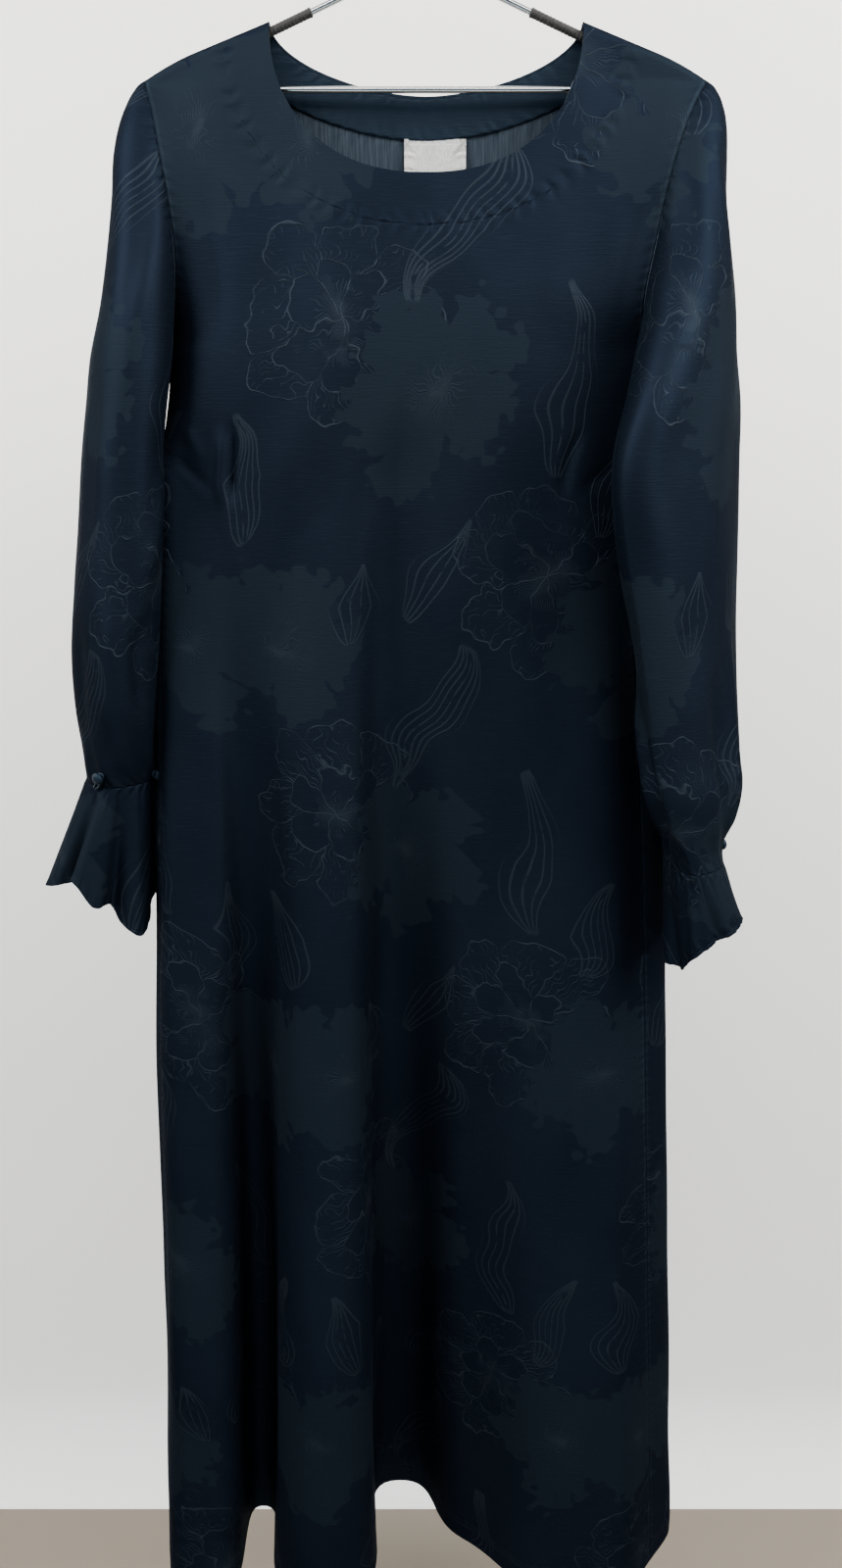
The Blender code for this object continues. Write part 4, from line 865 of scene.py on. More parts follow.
def sleeve_sheet(side):
    """A sleeve: open to the armhole above the underarm, a closed tube below it."""
    share = np.linspace(0, 1, SLEEVE_COLUMNS + 1)
    wrist = WRIST_Z[side]
    upper = np.linspace(0, 1, SLEEVE_UPPER_ROWS) ** SLEEVE_ROWS_CLOSER_AT_TOP
    lower = np.linspace(UNDERARM_Z, wrist, SLEEVE_LOWER_ROWS + 1)[1:]
    heights = np.concatenate([TIP_Z + (UNDERARM_Z - TIP_Z) * upper, lower])
    points = np.array([sleeve_surface(side, share, np.full(len(share), z)) for z in heights])
    normals = sleeve_normals(points, side)

    length = run_along(points)
    middle = SLEEVE_COLUMNS // 2
    u = (length - length[:, middle:middle + 1]) * SIDE[side]
    z = points[..., 2]
    to_edge = np.minimum(length, length[:, -1:] - length)
    is_open = z > UNDERARM_Z
    seams = nearest_seam((to_edge, z, np.where(is_open, STITCH, PLAIN)), (z - wrist, u, GATHER))

    free = np.where(is_open, ease(to_edge / ARMHOLE_FADE), 1.0)
    free = free * ease((z - wrist) / WRIST_FADE) * ease((TIP_Z - z) / TIP_FADE)
    height = crease_height(CREASES[side], u, z)
    height += SLEEVE_UNEVEN * soft_waves(u, z, SLEEVE_UNEVEN_SIZE, SLEEVE_SEEDS[side])
    gather = hill(z - wrist - GATHER_RISE, GATHER_REACH) * np.sin(u * 2 * math.pi / GATHER_STEP)
    height += GATHER_HEIGHT * gather
    points = points + normals * (height * free)[..., None]
    points[SLEEVE_UPPER_ROWS:, -1] = points[SLEEVE_UPPER_ROWS:, 0]
    return Sheet(points, sleeve_normals(points, side), np.stack([u, z], -1), seams)


def sleeve_normals(points, side):
    """Outward normals of a sleeve, shared with the panels along the armhole."""
    first = SLEEVE_UPPER_ROWS
    normals = grid_normals(points, -SIDE[side])
    normals[first:] = grid_normals(points[first - 1:], -SIDE[side], closed=True)[1:]
    for column in (0, -1):
        normals[:first, column] = armhole_normal(points[:first, column], side)
    normals[0] = shoulder_up(points[0, :, 0])
    return normals


def waves_round(waves, turn):
    """Several waves laid together, over the angle round a frill in radians."""
    return sum(wave.share * np.sin(turn * wave.count + wave.phase) for wave in waves)


def frill_sheet(side):
    """The flared frill below a wrist, gathered at its top and rolled at its hem."""
    angle = np.linspace(0, 360, FRILL_COLUMNS + 1)
    shares = np.linspace(0, 1, FRILL_ROWS)
    points = np.array([frill_surface(side, angle, share) for share in shares])
    points[:, -1] = points[:, 0]
    normals = grid_normals(points, -SIDE[side], closed=True)
    length = run_along(points)
    u = (length - length[:, -1:] / 2) * SIDE[side]
    z = points[..., 2]
    down = shares[:, None] * np.linalg.norm(points[-1] - points[0], axis=-1)
    to_hem = down[-1:] - down
    seams = nearest_seam((down, u, GATHER), (np.abs(to_hem - FRILL_STITCH), u, STITCH))
    turn = np.radians(angle)
    gather = waves_round(FRILL_GATHERS, turn) * hill(down, FRILL_GATHER_REACH)
    flutter = waves_round(FRILL_FLUTTERS, turn) * hill(to_hem, FLUTTER_REACH)
    roll = hill(to_hem - ROLL_UP, ROLL_WIDTH) * ease(down / ROLL_FADE)
    height = FRILL_GATHER * gather * ease(down / FRILL_TOP_FADE) + FLUTTER * flutter + ROLL * roll
    points = points + normals * height[..., None]
    points[:, -1] = points[:, 0]
    return Sheet(points, grid_normals(points, -SIDE[side], closed=True),
                 np.stack([u, z], -1), seams)


# ------------------------------------------------------------------ building node trees
class Nodes:
    """Short forms for adding and linking the nodes of one tree."""

    def __init__(self, tree):
        self.tree = tree

    def add(self, kind, values=None, **settings):
        node = self.tree.nodes.new("ShaderNode" + kind)
        for name, value in settings.items():
            setattr(node, name, value)
        for socket, value in (values or {}).items():
            self.feed(node.inputs[socket], value)
        return node

    def feed(self, socket, value):
        if isinstance(value, bpy.types.NodeSocket):
            self.tree.links.new(value, socket)
        else:
            socket.default_value = value

    def math(self, operation, *values):
        """The result of a sum on values."""
        return self.add("Math", dict(enumerate(values)), operation=operation).outputs[0]

    def vector(self, operation, *values, out="Vector"):
        node = self.add("VectorMath", dict(enumerate(values)), operation=operation)
        return node.outputs[out]

    def parts(self, vector):
        return self.add("SeparateXYZ", {0: vector}).outputs

    def join(self, x, y, z=0.0):
        return self.add("CombineXYZ", {0: x, 1: y, 2: z}).outputs[0]

    def smooth(self, value, start, end):
        """0 at start and 1 at end, eased."""
        node = self.add("MapRange", {"Value": value, "From Min": start, "From Max": end},
                        interpolation_type="SMOOTHSTEP")
        return node.outputs[0]

    def noise(self, vector, scale, detail=1.0, roughness=0.5, out=0):
        node = self.add("TexNoise", {"Vector": vector, "Scale": scale, "Detail": detail,
                                     "Roughness": roughness})
        return node.outputs[out]

    def blend(self, share, first, second):
        """A colour between two colours."""
        node = self.add("Mix", {0: share, 6: first, 7: second}, data_type="RGBA")
        return node.outputs[2]

    def most(self, *values):
        """The greatest of several values."""
        found = values[0]
        for value in values[1:]:
            found = self.math("MAXIMUM", found, value)
        return found

    def group(self, name, **values):
        """A node group with its values, and its outputs."""
        node = self.add("Group")
        node.node_tree = bpy.data.node_groups[name]
        for socket, value in values.items():
            self.feed(node.inputs[socket.replace("_", " ")], value)
        return node.outputs


def node_group(name, inputs, outputs):
    """A new node group with named sockets: its short forms, its inputs and its output node."""
    tree = bpy.data.node_groups.new(name, "ShaderNodeTree")
    for sockets, way in ((inputs, "INPUT"), (outputs, "OUTPUT")):
        for socket, kind in sockets.items():
            tree.interface.new_socket(socket, in_out=way, socket_type="NodeSocket" + kind)
    nodes = Nodes(tree)
    return nodes, tree.nodes.new("NodeGroupInput").outputs, tree.nodes.new("NodeGroupOutput").inputs


# ------------------------------------------------------------------ the woven flowers
HALF_REPEAT = 0.184        # half the height of the pattern's repeat, in metres of cloth
LINE = 0.00068             # half the width of a raised line


def make_place_group():
    """Places a motif on the cloth in columns, each dropped against the one before it.

    The place comes out in the motif's own units, with the half width of a line in them.
    """
    n, given, made = node_group(
        "Motif place", {"Cloth": "Vector", "Centre": "Vector", "Pitch": "Float", "Drop": "Float",
                        "Turn": "Float", "Size": "Float"},
        {"X": "Float", "Y": "Float", "Line": "Float"})
    x, y, _ = n.parts(n.vector("SUBTRACT", given["Cloth"], given["Centre"]))
    column = n.math("FLOOR", n.math("ADD", n.math("DIVIDE", x, given["Pitch"]), 0.5))
    x = n.math("SUBTRACT", x, n.math("MULTIPLY", column, given["Pitch"]))
    y = n.math("SUBTRACT", y, n.math("MULTIPLY", column, given["Drop"]))
    y = n.math("WRAP", y, HALF_REPEAT, -HALF_REPEAT)
    turned = n.add("VectorRotate", {"Vector": n.join(x, y), "Angle": given["Turn"]},
                   rotation_type="Z_AXIS").outputs[0]
    x, y, _ = n.parts(turned)
    n.feed(made["X"], n.math("DIVIDE", x, given["Size"]))
    n.feed(made["Y"], n.math("DIVIDE", y, given["Size"]))
    n.feed(made["Line"], n.math("DIVIDE", LINE, given["Size"]))


ARCH_POWER = 0.42          # how square a petal's arch is
OUTLINE_WIDTH, PETAL_SEAM_WIDTH = 1.6, 1.4     # in half widths of a raised line


def make_petals_group():
    """A ring of petals: arches side by side, with their outline and the seams between them."""
    n, given, made = node_group(
        "Petal ring", {"Radius": "Float", "Angle": "Float", "Petals": "Float", "Turn": "Float",
                       "Foot": "Float", "Height": "Float", "Line": "Float"},
        {"Edge": "Float", "Outline": "Float", "Seam": "Float"})
    turn = n.math("MULTIPLY_ADD", given["Angle"], n.math("MULTIPLY", given["Petals"], 0.5),
                  given["Turn"])
    arch = n.math("ABSOLUTE", n.math("COSINE", turn))
    bulge = n.math("POWER", arch, ARCH_POWER)
    edge = n.math("MULTIPLY_ADD", bulge, given["Height"], given["Foot"])
    radius = given["Radius"]
    off = n.math("ABSOLUTE", n.math("SUBTRACT", radius, edge))
    n.feed(made["Edge"], edge)
    outline_width = n.math("MULTIPLY", given["Line"], OUTLINE_WIDTH)
    n.feed(made["Outline"], n.smooth(off, outline_width, 0.0))
    width = n.math("DIVIDE", n.math("MULTIPLY", n.math("MULTIPLY", arch, radius), 2.0),
                   given["Petals"])
    seam_width = n.math("MULTIPLY", given["Line"], PETAL_SEAM_WIDTH)
    n.feed(made["Seam"], n.smooth(width, seam_width, 0.0))


def polar(n, x, y):
    """Distance from a motif's middle and angle round it."""
    squares = n.math("ADD", n.math("MULTIPLY", x, x), n.math("MULTIPLY", y, y))
    return n.math("SQRT", squares), n.math("ARCTAN2", y, x)


def fan_of_strokes(n, given, radius, angle, strokes, shake, width):
    """Strokes that run out from a motif's middle, shaken by the grain."""
    turn = n.math("MULTIPLY_ADD", given["Grain"], shake, n.math("MULTIPLY", angle, strokes))
    off = n.math("MULTIPLY", n.math("ABSOLUTE", n.math("SINE", turn)), radius)
    return n.smooth(off, n.math("MULTIPLY", given["Line"], width), 0.0)


Petals = namedtuple("Petals", "count turn foot height")
OUTER_PETALS, INNER_PETALS = Petals(8.0, 0.4, 0.62, 0.36), Petals(6.0, 1.1, 0.30, 0.28)
SHADOW_LOBES = Petals(5.0, 0.9, 0.50, 0.50)


def petal_ring(n, given, radius, angle, petals):
    """One ring of a flower's petals."""
    return n.group("Petal ring", Radius=radius, Angle=angle, Petals=petals.count,
                   Turn=petals.turn, Foot=petals.foot, Height=petals.height, Line=given["Line"])


def make_bloom_group():
    """An open flower in raised lines: two rings of petals, with short strokes at their feet."""
    n, given, made = node_group("Outline flower", {"X": "Float", "Y": "Float", "Line": "Float",
                                                   "Grain": "Float"}, {"Lines": "Float"})
    radius, angle = polar(n, given["X"], given["Y"])
    outer, inner = (petal_ring(n, given, radius, angle, petals)
                    for petals in (OUTER_PETALS, INNER_PETALS))
    off_inner = n.math("SUBTRACT", radius, inner["Edge"])
    within_inner = n.math("LESS_THAN", off_inner, 0.0)
    within_outer = n.math("LESS_THAN", radius, outer["Edge"])
    between = n.math("MULTIPLY", n.math("GREATER_THAN", off_inner, 0.0), within_outer)
    seams = n.most(n.math("MULTIPLY", outer["Seam"], between),
                   n.math("MULTIPLY", inner["Seam"], within_inner))
    fan = fan_of_strokes(n, given, radius, angle, strokes=31.0, shake=7.0, width=22.0)
    reach = n.math("MULTIPLY", given["Grain"], 0.42)
    feet = n.math("MULTIPLY", n.math("LESS_THAN", off_inner, reach), between)
    heart = n.math("LESS_THAN", radius, n.math("ADD", reach, 0.10))
    near_tip = n.math("ADD", radius, n.math("MULTIPLY", reach, 0.5))
    tips = n.math("MULTIPLY", within_outer, n.math("GREATER_THAN", near_tip, outer["Edge"]))
    strength = n.most(n.math("MULTIPLY", n.most(feet, tips), 0.8),
                      n.math("MULTIPLY", heart, 0.45))
    n.feed(made["Lines"], n.most(outer["Outline"], inner["Outline"], seams,
                                 n.math("MULTIPLY", fan, strength)))


def make_shadow_group():
    """A full flower as a quiet patch of the other weave, with a lobed edge."""
    n, given, made = node_group("Shadow flower", {"X": "Float", "Y": "Float", "Line": "Float",
                                                  "Grain": "Float"},
                                {"Fill": "Float", "Lines": "Float"})
    radius, angle = polar(n, given["X"], given["Y"])
    lobes = petal_ring(n, given, radius, angle, SHADOW_LOBES)
    torn = n.math("MULTIPLY_ADD", given["Grain"], 0.55, -0.27)
    inset = n.math("ADD", n.math("SUBTRACT", radius, lobes["Edge"]), torn)
    n.feed(made["Fill"], n.smooth(inset, 0.015, -0.015))
    fan = fan_of_strokes(n, given, radius, angle, strokes=15.0, shake=9.0, width=12.0)
    reach = n.math("MULTIPLY_ADD", given["Grain"], 0.7, 0.1)
    n.feed(made["Lines"], n.math("MULTIPLY", fan, n.smooth(radius, reach, 0.05)))


def make_leaf_group():
    """A long leaf or bud: a bent, pointed blade of flowing lengthwise strokes."""
    n, given, made = node_group("Leaf", {"X": "Float", "Y": "Float", "Bend": "Float",
                                         "Width": "Float", "Ribs": "Float", "Line": "Float",
                                         "Grain": "Float"}, {"Lines": "Float", "Fill": "Float"})
    y = given["Y"]
    sway = n.math("SINE", n.math("MULTIPLY", y, 2.6))
    x = n.math("SUBTRACT", given["X"], n.math("MULTIPLY", given["Bend"], sway))
    taper = n.math("MAXIMUM", n.math("SUBTRACT", 1.0, n.math("ABSOLUTE", y)), 0.0)
    belly = n.math("MULTIPLY", n.math("MULTIPLY_ADD", y, -0.62, 1.0), given["Width"])
    half = n.math("MULTIPLY", n.math("POWER", taper, 0.65), belly)
    full = n.math("ADD", half, 0.03)
    share = n.math("DIVIDE", x, full)
    off = n.math("ABSOLUTE", share)
    inside = n.math("MULTIPLY", n.smooth(off, 1.02, 0.92), n.smooth(taper, 0.0, 0.05))
    rib_turn = n.math("MULTIPLY", share, n.math("MULTIPLY", given["Ribs"], math.pi / 2))
    ribs = n.math("ABSOLUTE", n.math("COSINE", n.math("MULTIPLY_ADD", y, 0.8, rib_turn)))
    thin = n.math("DIVIDE", n.math("MULTIPLY", given["Line"], given["Ribs"]), full)
    ribs = n.smooth(ribs, n.math("MULTIPLY", thin, 2.6), 0.0)
    torn = n.smooth(n.math("ADD", given["Grain"], off), 0.42, 0.62)
    n.feed(made["Lines"], n.math("MULTIPLY", n.math("MULTIPLY", ribs, torn), inside))
    n.feed(made["Fill"], inside)


# Places of the motifs on the flat cloth, their turn in degrees and their half size.
Bloom = namedtuple("Bloom", "group u v pitch drop turn size")
BLOOMS = (
    Bloom("Outline flower", -0.062, -0.318, 0.18, HALF_REPEAT, 0, 0.076),
    Bloom("Shadow flower", 0.012, -0.368, 0.18, HALF_REPEAT, 0, 0.070),
    Bloom("Shadow flower", -0.090, -0.550, 0.36, 0.0, 140, 0.066),
)
BLADE_PITCH = 0.36
Blade = namedtuple("Blade", "u v turn size bend width ribs")
BLADES = (
    Blade(0.117, -0.352, -10, 0.068, 0.16, 0.26, 5),
    Blade(0.026, -0.252, 200, 0.070, 0.22, 0.30, 7),
    Blade(0.034, -0.502, 30, 0.042, 0.14, 0.40, 5),
    Blade(-0.034, -0.526, 4, 0.036, 0.06, 0.60, 5),
    Blade(0.172, -0.425, 20, 0.046, -0.10, 0.46, 6),
    Blade(-0.124, -0.430, -10, 0.046, 0.12, 0.46, 6),
)


SWAY, RUFFLE = 0.038, 0.010      # how far the drawing wanders, at large and in small


def make_jacquard_group():
    """All the flowers and leaves of one repeat, over the cloth's flat coordinates.

    One wandering of the whole cloth ruffles every edge, so no two petals are the same.
    """
    n, given, made = node_group("Floral jacquard", {"Cloth": "Vector"},
                                {"Lines": "Float", "Fill": "Float"})
    slow = n.noise(given["Cloth"], 19.0, 0.0, out="Color")
    quick = n.noise(given["Cloth"], 96.0, 0.0, out="Color")
    sway, ruffle = (n.vector("MULTIPLY", n.vector("SUBTRACT", wandering, (0.5, 0.5, 0.5)),
                             (reach, reach, 0.0))
                    for wandering, reach in ((slow, SWAY), (quick, RUFFLE)))
    leafy_cloth = n.vector("ADD", given["Cloth"], sway)
    cloth = n.vector("ADD", leafy_cloth, ruffle)
    grain = n.parts(quick)[2]
    broken = n.smooth(n.math("MULTIPLY_ADD", grain, 0.6, n.parts(slow)[2]), 0.62, 0.74)
    drawn = []
    for bloom in BLOOMS:
        local = n.group("Motif place", Cloth=cloth, Centre=(bloom.u, bloom.v, 0.0),
                        Pitch=bloom.pitch, Drop=bloom.drop, Turn=math.radians(bloom.turn),
                        Size=bloom.size)
        drawn.append(n.group(bloom.group, X=local["X"], Y=local["Y"], Line=local["Line"],
                             Grain=grain))
    outline, *shadows = drawn
    leaves = []
    for blade in BLADES:
        local = n.group("Motif place", Cloth=leafy_cloth, Centre=(blade.u, blade.v, 0.0),
                        Pitch=BLADE_PITCH, Drop=0.0, Turn=math.radians(blade.turn),
                        Size=blade.size)
        leaves.append(n.group("Leaf", X=local["X"], Y=local["Y"], Line=local["Line"],
                              Bend=blade.bend, Width=blade.width, Ribs=float(blade.ribs),
                              Grain=grain))
    shade = n.most(*[shadow["Fill"] for shadow in shadows])
    leafy = n.most(*[leaf["Fill"] for leaf in leaves])
    veins = n.math("MULTIPLY", n.most(*[leaf["Lines"] for leaf in leaves]), 0.72)
    worn = n.math("MULTIPLY_ADD", broken, 0.6, 0.4)
    open_lines = n.math("MULTIPLY", n.math("MULTIPLY", outline["Lines"], worn),
                        n.math("SUBTRACT", 1.0, shade))
    faint = n.math("MULTIPLY", n.most(*[shadow["Lines"] for shadow in shadows]), shade)
    lines = n.most(open_lines, n.math("MULTIPLY", faint, 0.5), veins)
    n.feed(made["Lines"], lines)
    n.feed(made["Fill"], n.math("MULTIPLY", shade, n.math("MULTIPLY_ADD", leafy, -0.5, 1.0)))


# ------------------------------------------------------------------ the cloth's surface
GROOVE_WIDTH, STITCH_STEP = 0.0013, 0.0013


def make_crepe_group():
    """The crepe's crinkled face: a fine height and a fleck of lighter threads."""
    n, given, made = node_group("Satin crepe", {"Cloth": "Vector"},
                                {"Height": "Float", "Fleck": "Float", "Cloud": "Float"})
    grain, slub, cloud = (
        n.noise(n.vector("MULTIPLY", given["Cloth"], (across, down, 1.0)), 1.0, 2.0, roughness)
        for across, down, roughness in ((330.0, 1250.0, 0.6), (60.0, 700.0, 0.55),
                                        (14.0, 9.0, 0.5)))
    n.feed(made["Height"], n.math("MULTIPLY_ADD", slub, 0.7, n.math("MULTIPLY", grain, 0.5)))
    n.feed(made["Fleck"], n.smooth(slub, 0.52, 0.74))
    n.feed(made["Cloud"], n.smooth(cloud, 0.25, 0.75))


def make_seam_group():
    """A sewn line: its groove with painted shade, a painted highlight on its edge, its stitches and
    the puckers beside it.
    """
    n, given, made = node_group("Seam", {"Seams": "Vector", "Pucker": "Float"},
                                {"Height": "Float", "Groove": "Float", "Edge": "Float",
                                 "Stitches": "Float"})
    away, run, strength = n.parts(given["Seams"])
    along = n.math("DIVIDE", run, given["Pucker"])
    drift = n.math("MULTIPLY", n.noise(n.join(along, 0.0), 0.6), 9.0)
    slant = n.math("MULTIPLY", n.math("DIVIDE", away, given["Pucker"]), 1.6)
    wave = n.math("SINE", n.math("ADD", n.math("MULTIPLY", along, 2 * math.pi),
                                 n.math("ADD", drift, slant)))
    beside = n.math("MULTIPLY", n.smooth(away, 0.011, 0.001), n.smooth(away, 0.0, 0.0012))
    puckers = n.math("MULTIPLY", n.math("MULTIPLY", wave, beside), strength)
    groove = n.smooth(away, GROOVE_WIDTH, 0.0)
    # A pale band just beside a plain seam: a painted highlight where its edge would catch the
    # light.
    edge = n.math("MULTIPLY", n.smooth(away, 0.0036, 0.0026), n.smooth(away, 0.0010, 0.0018))
    n.feed(made["Height"], n.math("MULTIPLY_ADD", groove, -0.8, puckers))
    # The groove's mask also goes to the colour, as painted shade inside the groove.
    n.feed(made["Groove"], groove)
    n.feed(made["Edge"], n.math("MULTIPLY", edge, n.smooth(strength, 0.6, 0.4)))
    step = n.math("PINGPONG", n.math("DIVIDE", run, STITCH_STEP), 1.0)
    n.feed(made["Stitches"], n.math("MULTIPLY", n.smooth(step, 0.35, 0.65),
                                    n.smooth(away, 0.0007, 0.0002)))


for make in (make_place_group, make_petals_group, make_bloom_group, make_shadow_group,
             make_leaf_group, make_jacquard_group, make_crepe_group, make_seam_group):
    make()


# ------------------------------------------------------------------ materials
# Colours.  A pair is the two ends that a ground runs between.
FACE_GROUND = (0.0062, 0.0096, 0.0170, 1.0), (0.0078, 0.0118, 0.0202, 1.0)
PATCH, RAISED_LINE = (0.0118, 0.0184, 0.0262, 1.0), (0.0270, 0.0370, 0.0480, 1.0)
# The seam edge colour is a painted highlight along a plain seam's edge.
FACE_FLECK, SEAM_EDGE_HIGHLIGHT = (0.0120, 0.0185, 0.0280, 1.0), (0.0220, 0.0330, 0.0460, 1.0)
# The groove colours are painted shade inside a seam's groove.
FACE_GROOVE_SHADE, PLAIN_GROOVE_SHADE = (0.002, 0.003, 0.006, 1.0), (0.001, 0.002, 0.004, 1.0)
WRONG_GROUND = (0.0130, 0.0200, 0.0285, 1.0), (0.029, 0.039, 0.053, 1.0)
WRONG_CLOUD = (0.016, 0.025, 0.038, 1.0)
PLAIN_GROUND = (0.0042, 0.0080, 0.0142, 1.0), (0.0056, 0.0102, 0.0178, 1.0)
PLAIN_FLECK = (0.0100, 0.0160, 0.0250, 1.0)
LABEL_WHITE = (0.40, 0.415, 0.42, 1.0), (0.50, 0.51, 0.515, 1.0)
LABEL_STITCH = (0.30, 0.31, 0.33, 1.0)
RUBBER_BLACK = (0.010, 0.010, 0.011, 1.0), (0.030, 0.030, 0.031, 1.0)
# Steps of the puckers along a seam, and depths of what lies on the cloth, in metres.
DRESS_PUCKER, FACING_PUCKER, LABEL_PUCKER = 0.0095, 0.0093, 0.006
CREPE_DEPTH, FLOWER_DEPTH, WARP_DEPTH = 0.00022, 0.0003, 0.00025
FACE_SEAM_DEPTH, WRONG_SEAM_DEPTH, PLAIN_SEAM_DEPTH = 0.00045, 0.0006, 0.00025


def new_material(name, **settings):
    """A material with its Principled shader's constant values, and the nodes to build on."""
    material = bpy.data.materials.new(name)
    material.use_nodes = True
    nodes = Nodes(material.node_tree)
    shader = material.node_tree.nodes["Principled BSDF"]
    for socket, value in settings.items():
        shader.inputs[socket.replace("_", " ")].default_value = value
    return material, nodes, shader


def cloth_places(n):
    """The cloth's flat coordinates and its seams."""
    flat = n.add("UVMap", uv_map="cloth").outputs[0]
    seams = n.add("Attribute", attribute_name="seams").outputs["Vector"]
    return flat, seams


def bump(n, height, metres, strength=1.0):
    return n.add("Bump", {"Height": height, "Distance": metres, "Strength": strength})


def relief(n, shader, *bumps):
    """Lays bumps on one another, the lowest first."""
    for below, above in zip(bumps, bumps[1:]):
        n.feed(above.inputs["Normal"], below.outputs[0])
    n.feed(shader.inputs["Normal"], bumps[-1].outputs[0])


def colour(n, shader, ground, *layers):
    """Lays colours over a ground, each with its mask and the share of it that shows."""
    for mask, share, paint in layers:
        ground = n.blend(n.math("MULTIPLY", mask, share), ground, paint)
    n.feed(shader.inputs["Base Color"], ground)


def right_side():
    """The dress's face: black satin crepe with the flowers woven tone on tone."""
    material, n, shader = new_material(
        "satin crepe jacquard", Metallic=0.80, Specular_IOR_Level=0.05,
        Specular_Tint=(0.10, 0.12, 0.16, 1.0))
    flat, seams = cloth_places(n)
    flowers = n.group("Floral jacquard", Cloth=flat)
    crepe = n.group("Satin crepe", Cloth=flat)
    seam = n.group("Seam", Seams=seams, Pucker=DRESS_PUCKER)
    # A seam's edge gets a painted highlight and its groove painted shade.
    colour(n, shader, n.blend(crepe["Cloud"], *FACE_GROUND),
           (flowers["Fill"], 0.62, PATCH), (flowers["Lines"], 0.66, RAISED_LINE),
           (crepe["Fleck"], 0.3, FACE_FLECK), (seam["Edge"], 0.22, SEAM_EDGE_HIGHLIGHT),
           (seam["Groove"], 0.35, FACE_GROOVE_SHADE))
    rough = n.math("MULTIPLY_ADD", flowers["Fill"], 0.06, 0.62)
    n.feed(shader.inputs["Roughness"], n.math("MULTIPLY_ADD", crepe["Fleck"], 0.05, rough))
    relief(n, shader, bump(n, crepe["Height"], CREPE_DEPTH),
           bump(n, flowers["Lines"], FLOWER_DEPTH), bump(n, seam["Height"], FACE_SEAM_DEPTH))
    return material


def wrong_side():
    """The inside of the same cloth: greyer, matt, with the warp showing as fine upright lines."""
    material, n, shader = new_material("wrong side", Roughness=0.78, Specular_IOR_Level=0.15,
                                       Specular_Tint=(0.6, 0.8, 1.0, 1.0))
    flat, seams = cloth_places(n)
    warp = n.noise(n.vector("MULTIPLY", flat, (620.0, 26.0, 1.0)), 1.0, 2.0, 0.6)
    crepe = n.group("Satin crepe", Cloth=flat)
    seam = n.group("Seam", Seams=seams, Pucker=DRESS_PUCKER)
    colour(n, shader, n.blend(n.smooth(warp, 0.35, 0.68), *WRONG_GROUND),
           (crepe["Cloud"], 0.3, WRONG_CLOUD))
    relief(n, shader, bump(n, warp, WARP_DEPTH), bump(n, seam["Height"], WRONG_SEAM_DEPTH))
    return material


def plain_crepe():
    """Small pieces cut from the same crepe: facings, buttons, loops."""
    material, n, shader = new_material("plain crepe", Roughness=0.5, Specular_IOR_Level=0.16,
                                       Specular_Tint=(0.50, 0.74, 1.0, 1.0))
    flat, seams = cloth_places(n)
    crepe = n.group("Satin crepe", Cloth=flat)
    seam = n.group("Seam", Seams=seams, Pucker=FACING_PUCKER)
    # A seam's groove gets painted shade.
    colour(n, shader, n.blend(crepe["Cloud"], *PLAIN_GROUND),
           (crepe["Fleck"], 0.3, PLAIN_FLECK), (seam["Groove"], 0.6, PLAIN_GROOVE_SHADE))
    relief(n, shader, bump(n, crepe["Height"], CREPE_DEPTH),
           bump(n, seam["Height"], PLAIN_SEAM_DEPTH))
    return material


def label_satin():
    """Bare white label satin with a running stitch along its edges."""
    material, n, shader = new_material("label satin", Roughness=0.42, Specular_IOR_Level=0.5,
                                       Sheen_Weight=0.15)
    flat, seams = cloth_places(n)
    weave = n.noise(n.vector("MULTIPLY", flat, (900.0, 260.0, 1.0)), 1.0, 1.0, 0.5)
    creased = n.noise(n.vector("MULTIPLY", flat, (60.0, 90.0, 1.0)), 1.0, 2.0, 0.5)
    seam = n.group("Seam", Seams=seams, Pucker=LABEL_PUCKER)
    colour(n, shader, n.blend(n.smooth(weave, 0.3, 0.7), *LABEL_WHITE),
           (seam["Stitches"], 0.5, LABEL_STITCH))
    relief(n, shader, bump(n, creased, 0.0012, 0.6),
           bump(n, n.math("ADD", weave, seam["Height"]), 0.0003))
    return material


def chrome():
    """Polished chrome wire, a little hazed and scratched along its length."""
    material, n, shader = new_material("chrome wire", Metallic=1.0,
                                       Base_Color=(0.60, 0.63, 0.64, 1.0))
    place = n.add("TexCoord").outputs["Object"]
    haze = n.noise(place, 90.0, 3.0, 0.6)
    n.feed(shader.inputs["Roughness"], n.math("MULTIPLY_ADD", haze, 0.16, 0.06))
    relief(n, shader, bump(n, n.noise(place, 420.0, 1.0), 0.00004))
    return material


def rubber():
    """Matt black rubber with dust in its pores."""
    material, n, shader = new_material("grip rubber", Specular_IOR_Level=0.35)
    dust = n.noise(n.add("TexCoord").outputs["Object"], 260.0, 3.0, 0.7)
    colour(n, shader, n.blend(n.smooth(dust, 0.45, 0.75), *RUBBER_BLACK))
    n.feed(shader.inputs["Roughness"], n.math("MULTIPLY_ADD", dust, 0.25, 0.55))
    relief(n, shader, bump(n, dust, 0.0001))
    return material


FACE, INSIDE, CREPE, LABEL = right_side(), wrong_side(), plain_crepe(), label_satin()
CHROME, RUBBER = chrome(), rubber()


# ------------------------------------------------------------------ the dress
def finish_piece(piece, node):
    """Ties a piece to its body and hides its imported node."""
    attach(piece, "root")
    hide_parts(node)


# The size of each piece of cloth before it was sewn, its area, and what holds it.
SheetCut = namedtuple("SheetCut", "width length area held rests_on")


def cloth_piece(piece, node):
    """Finishes a piece of cloth."""
    finish_piece(piece, node)


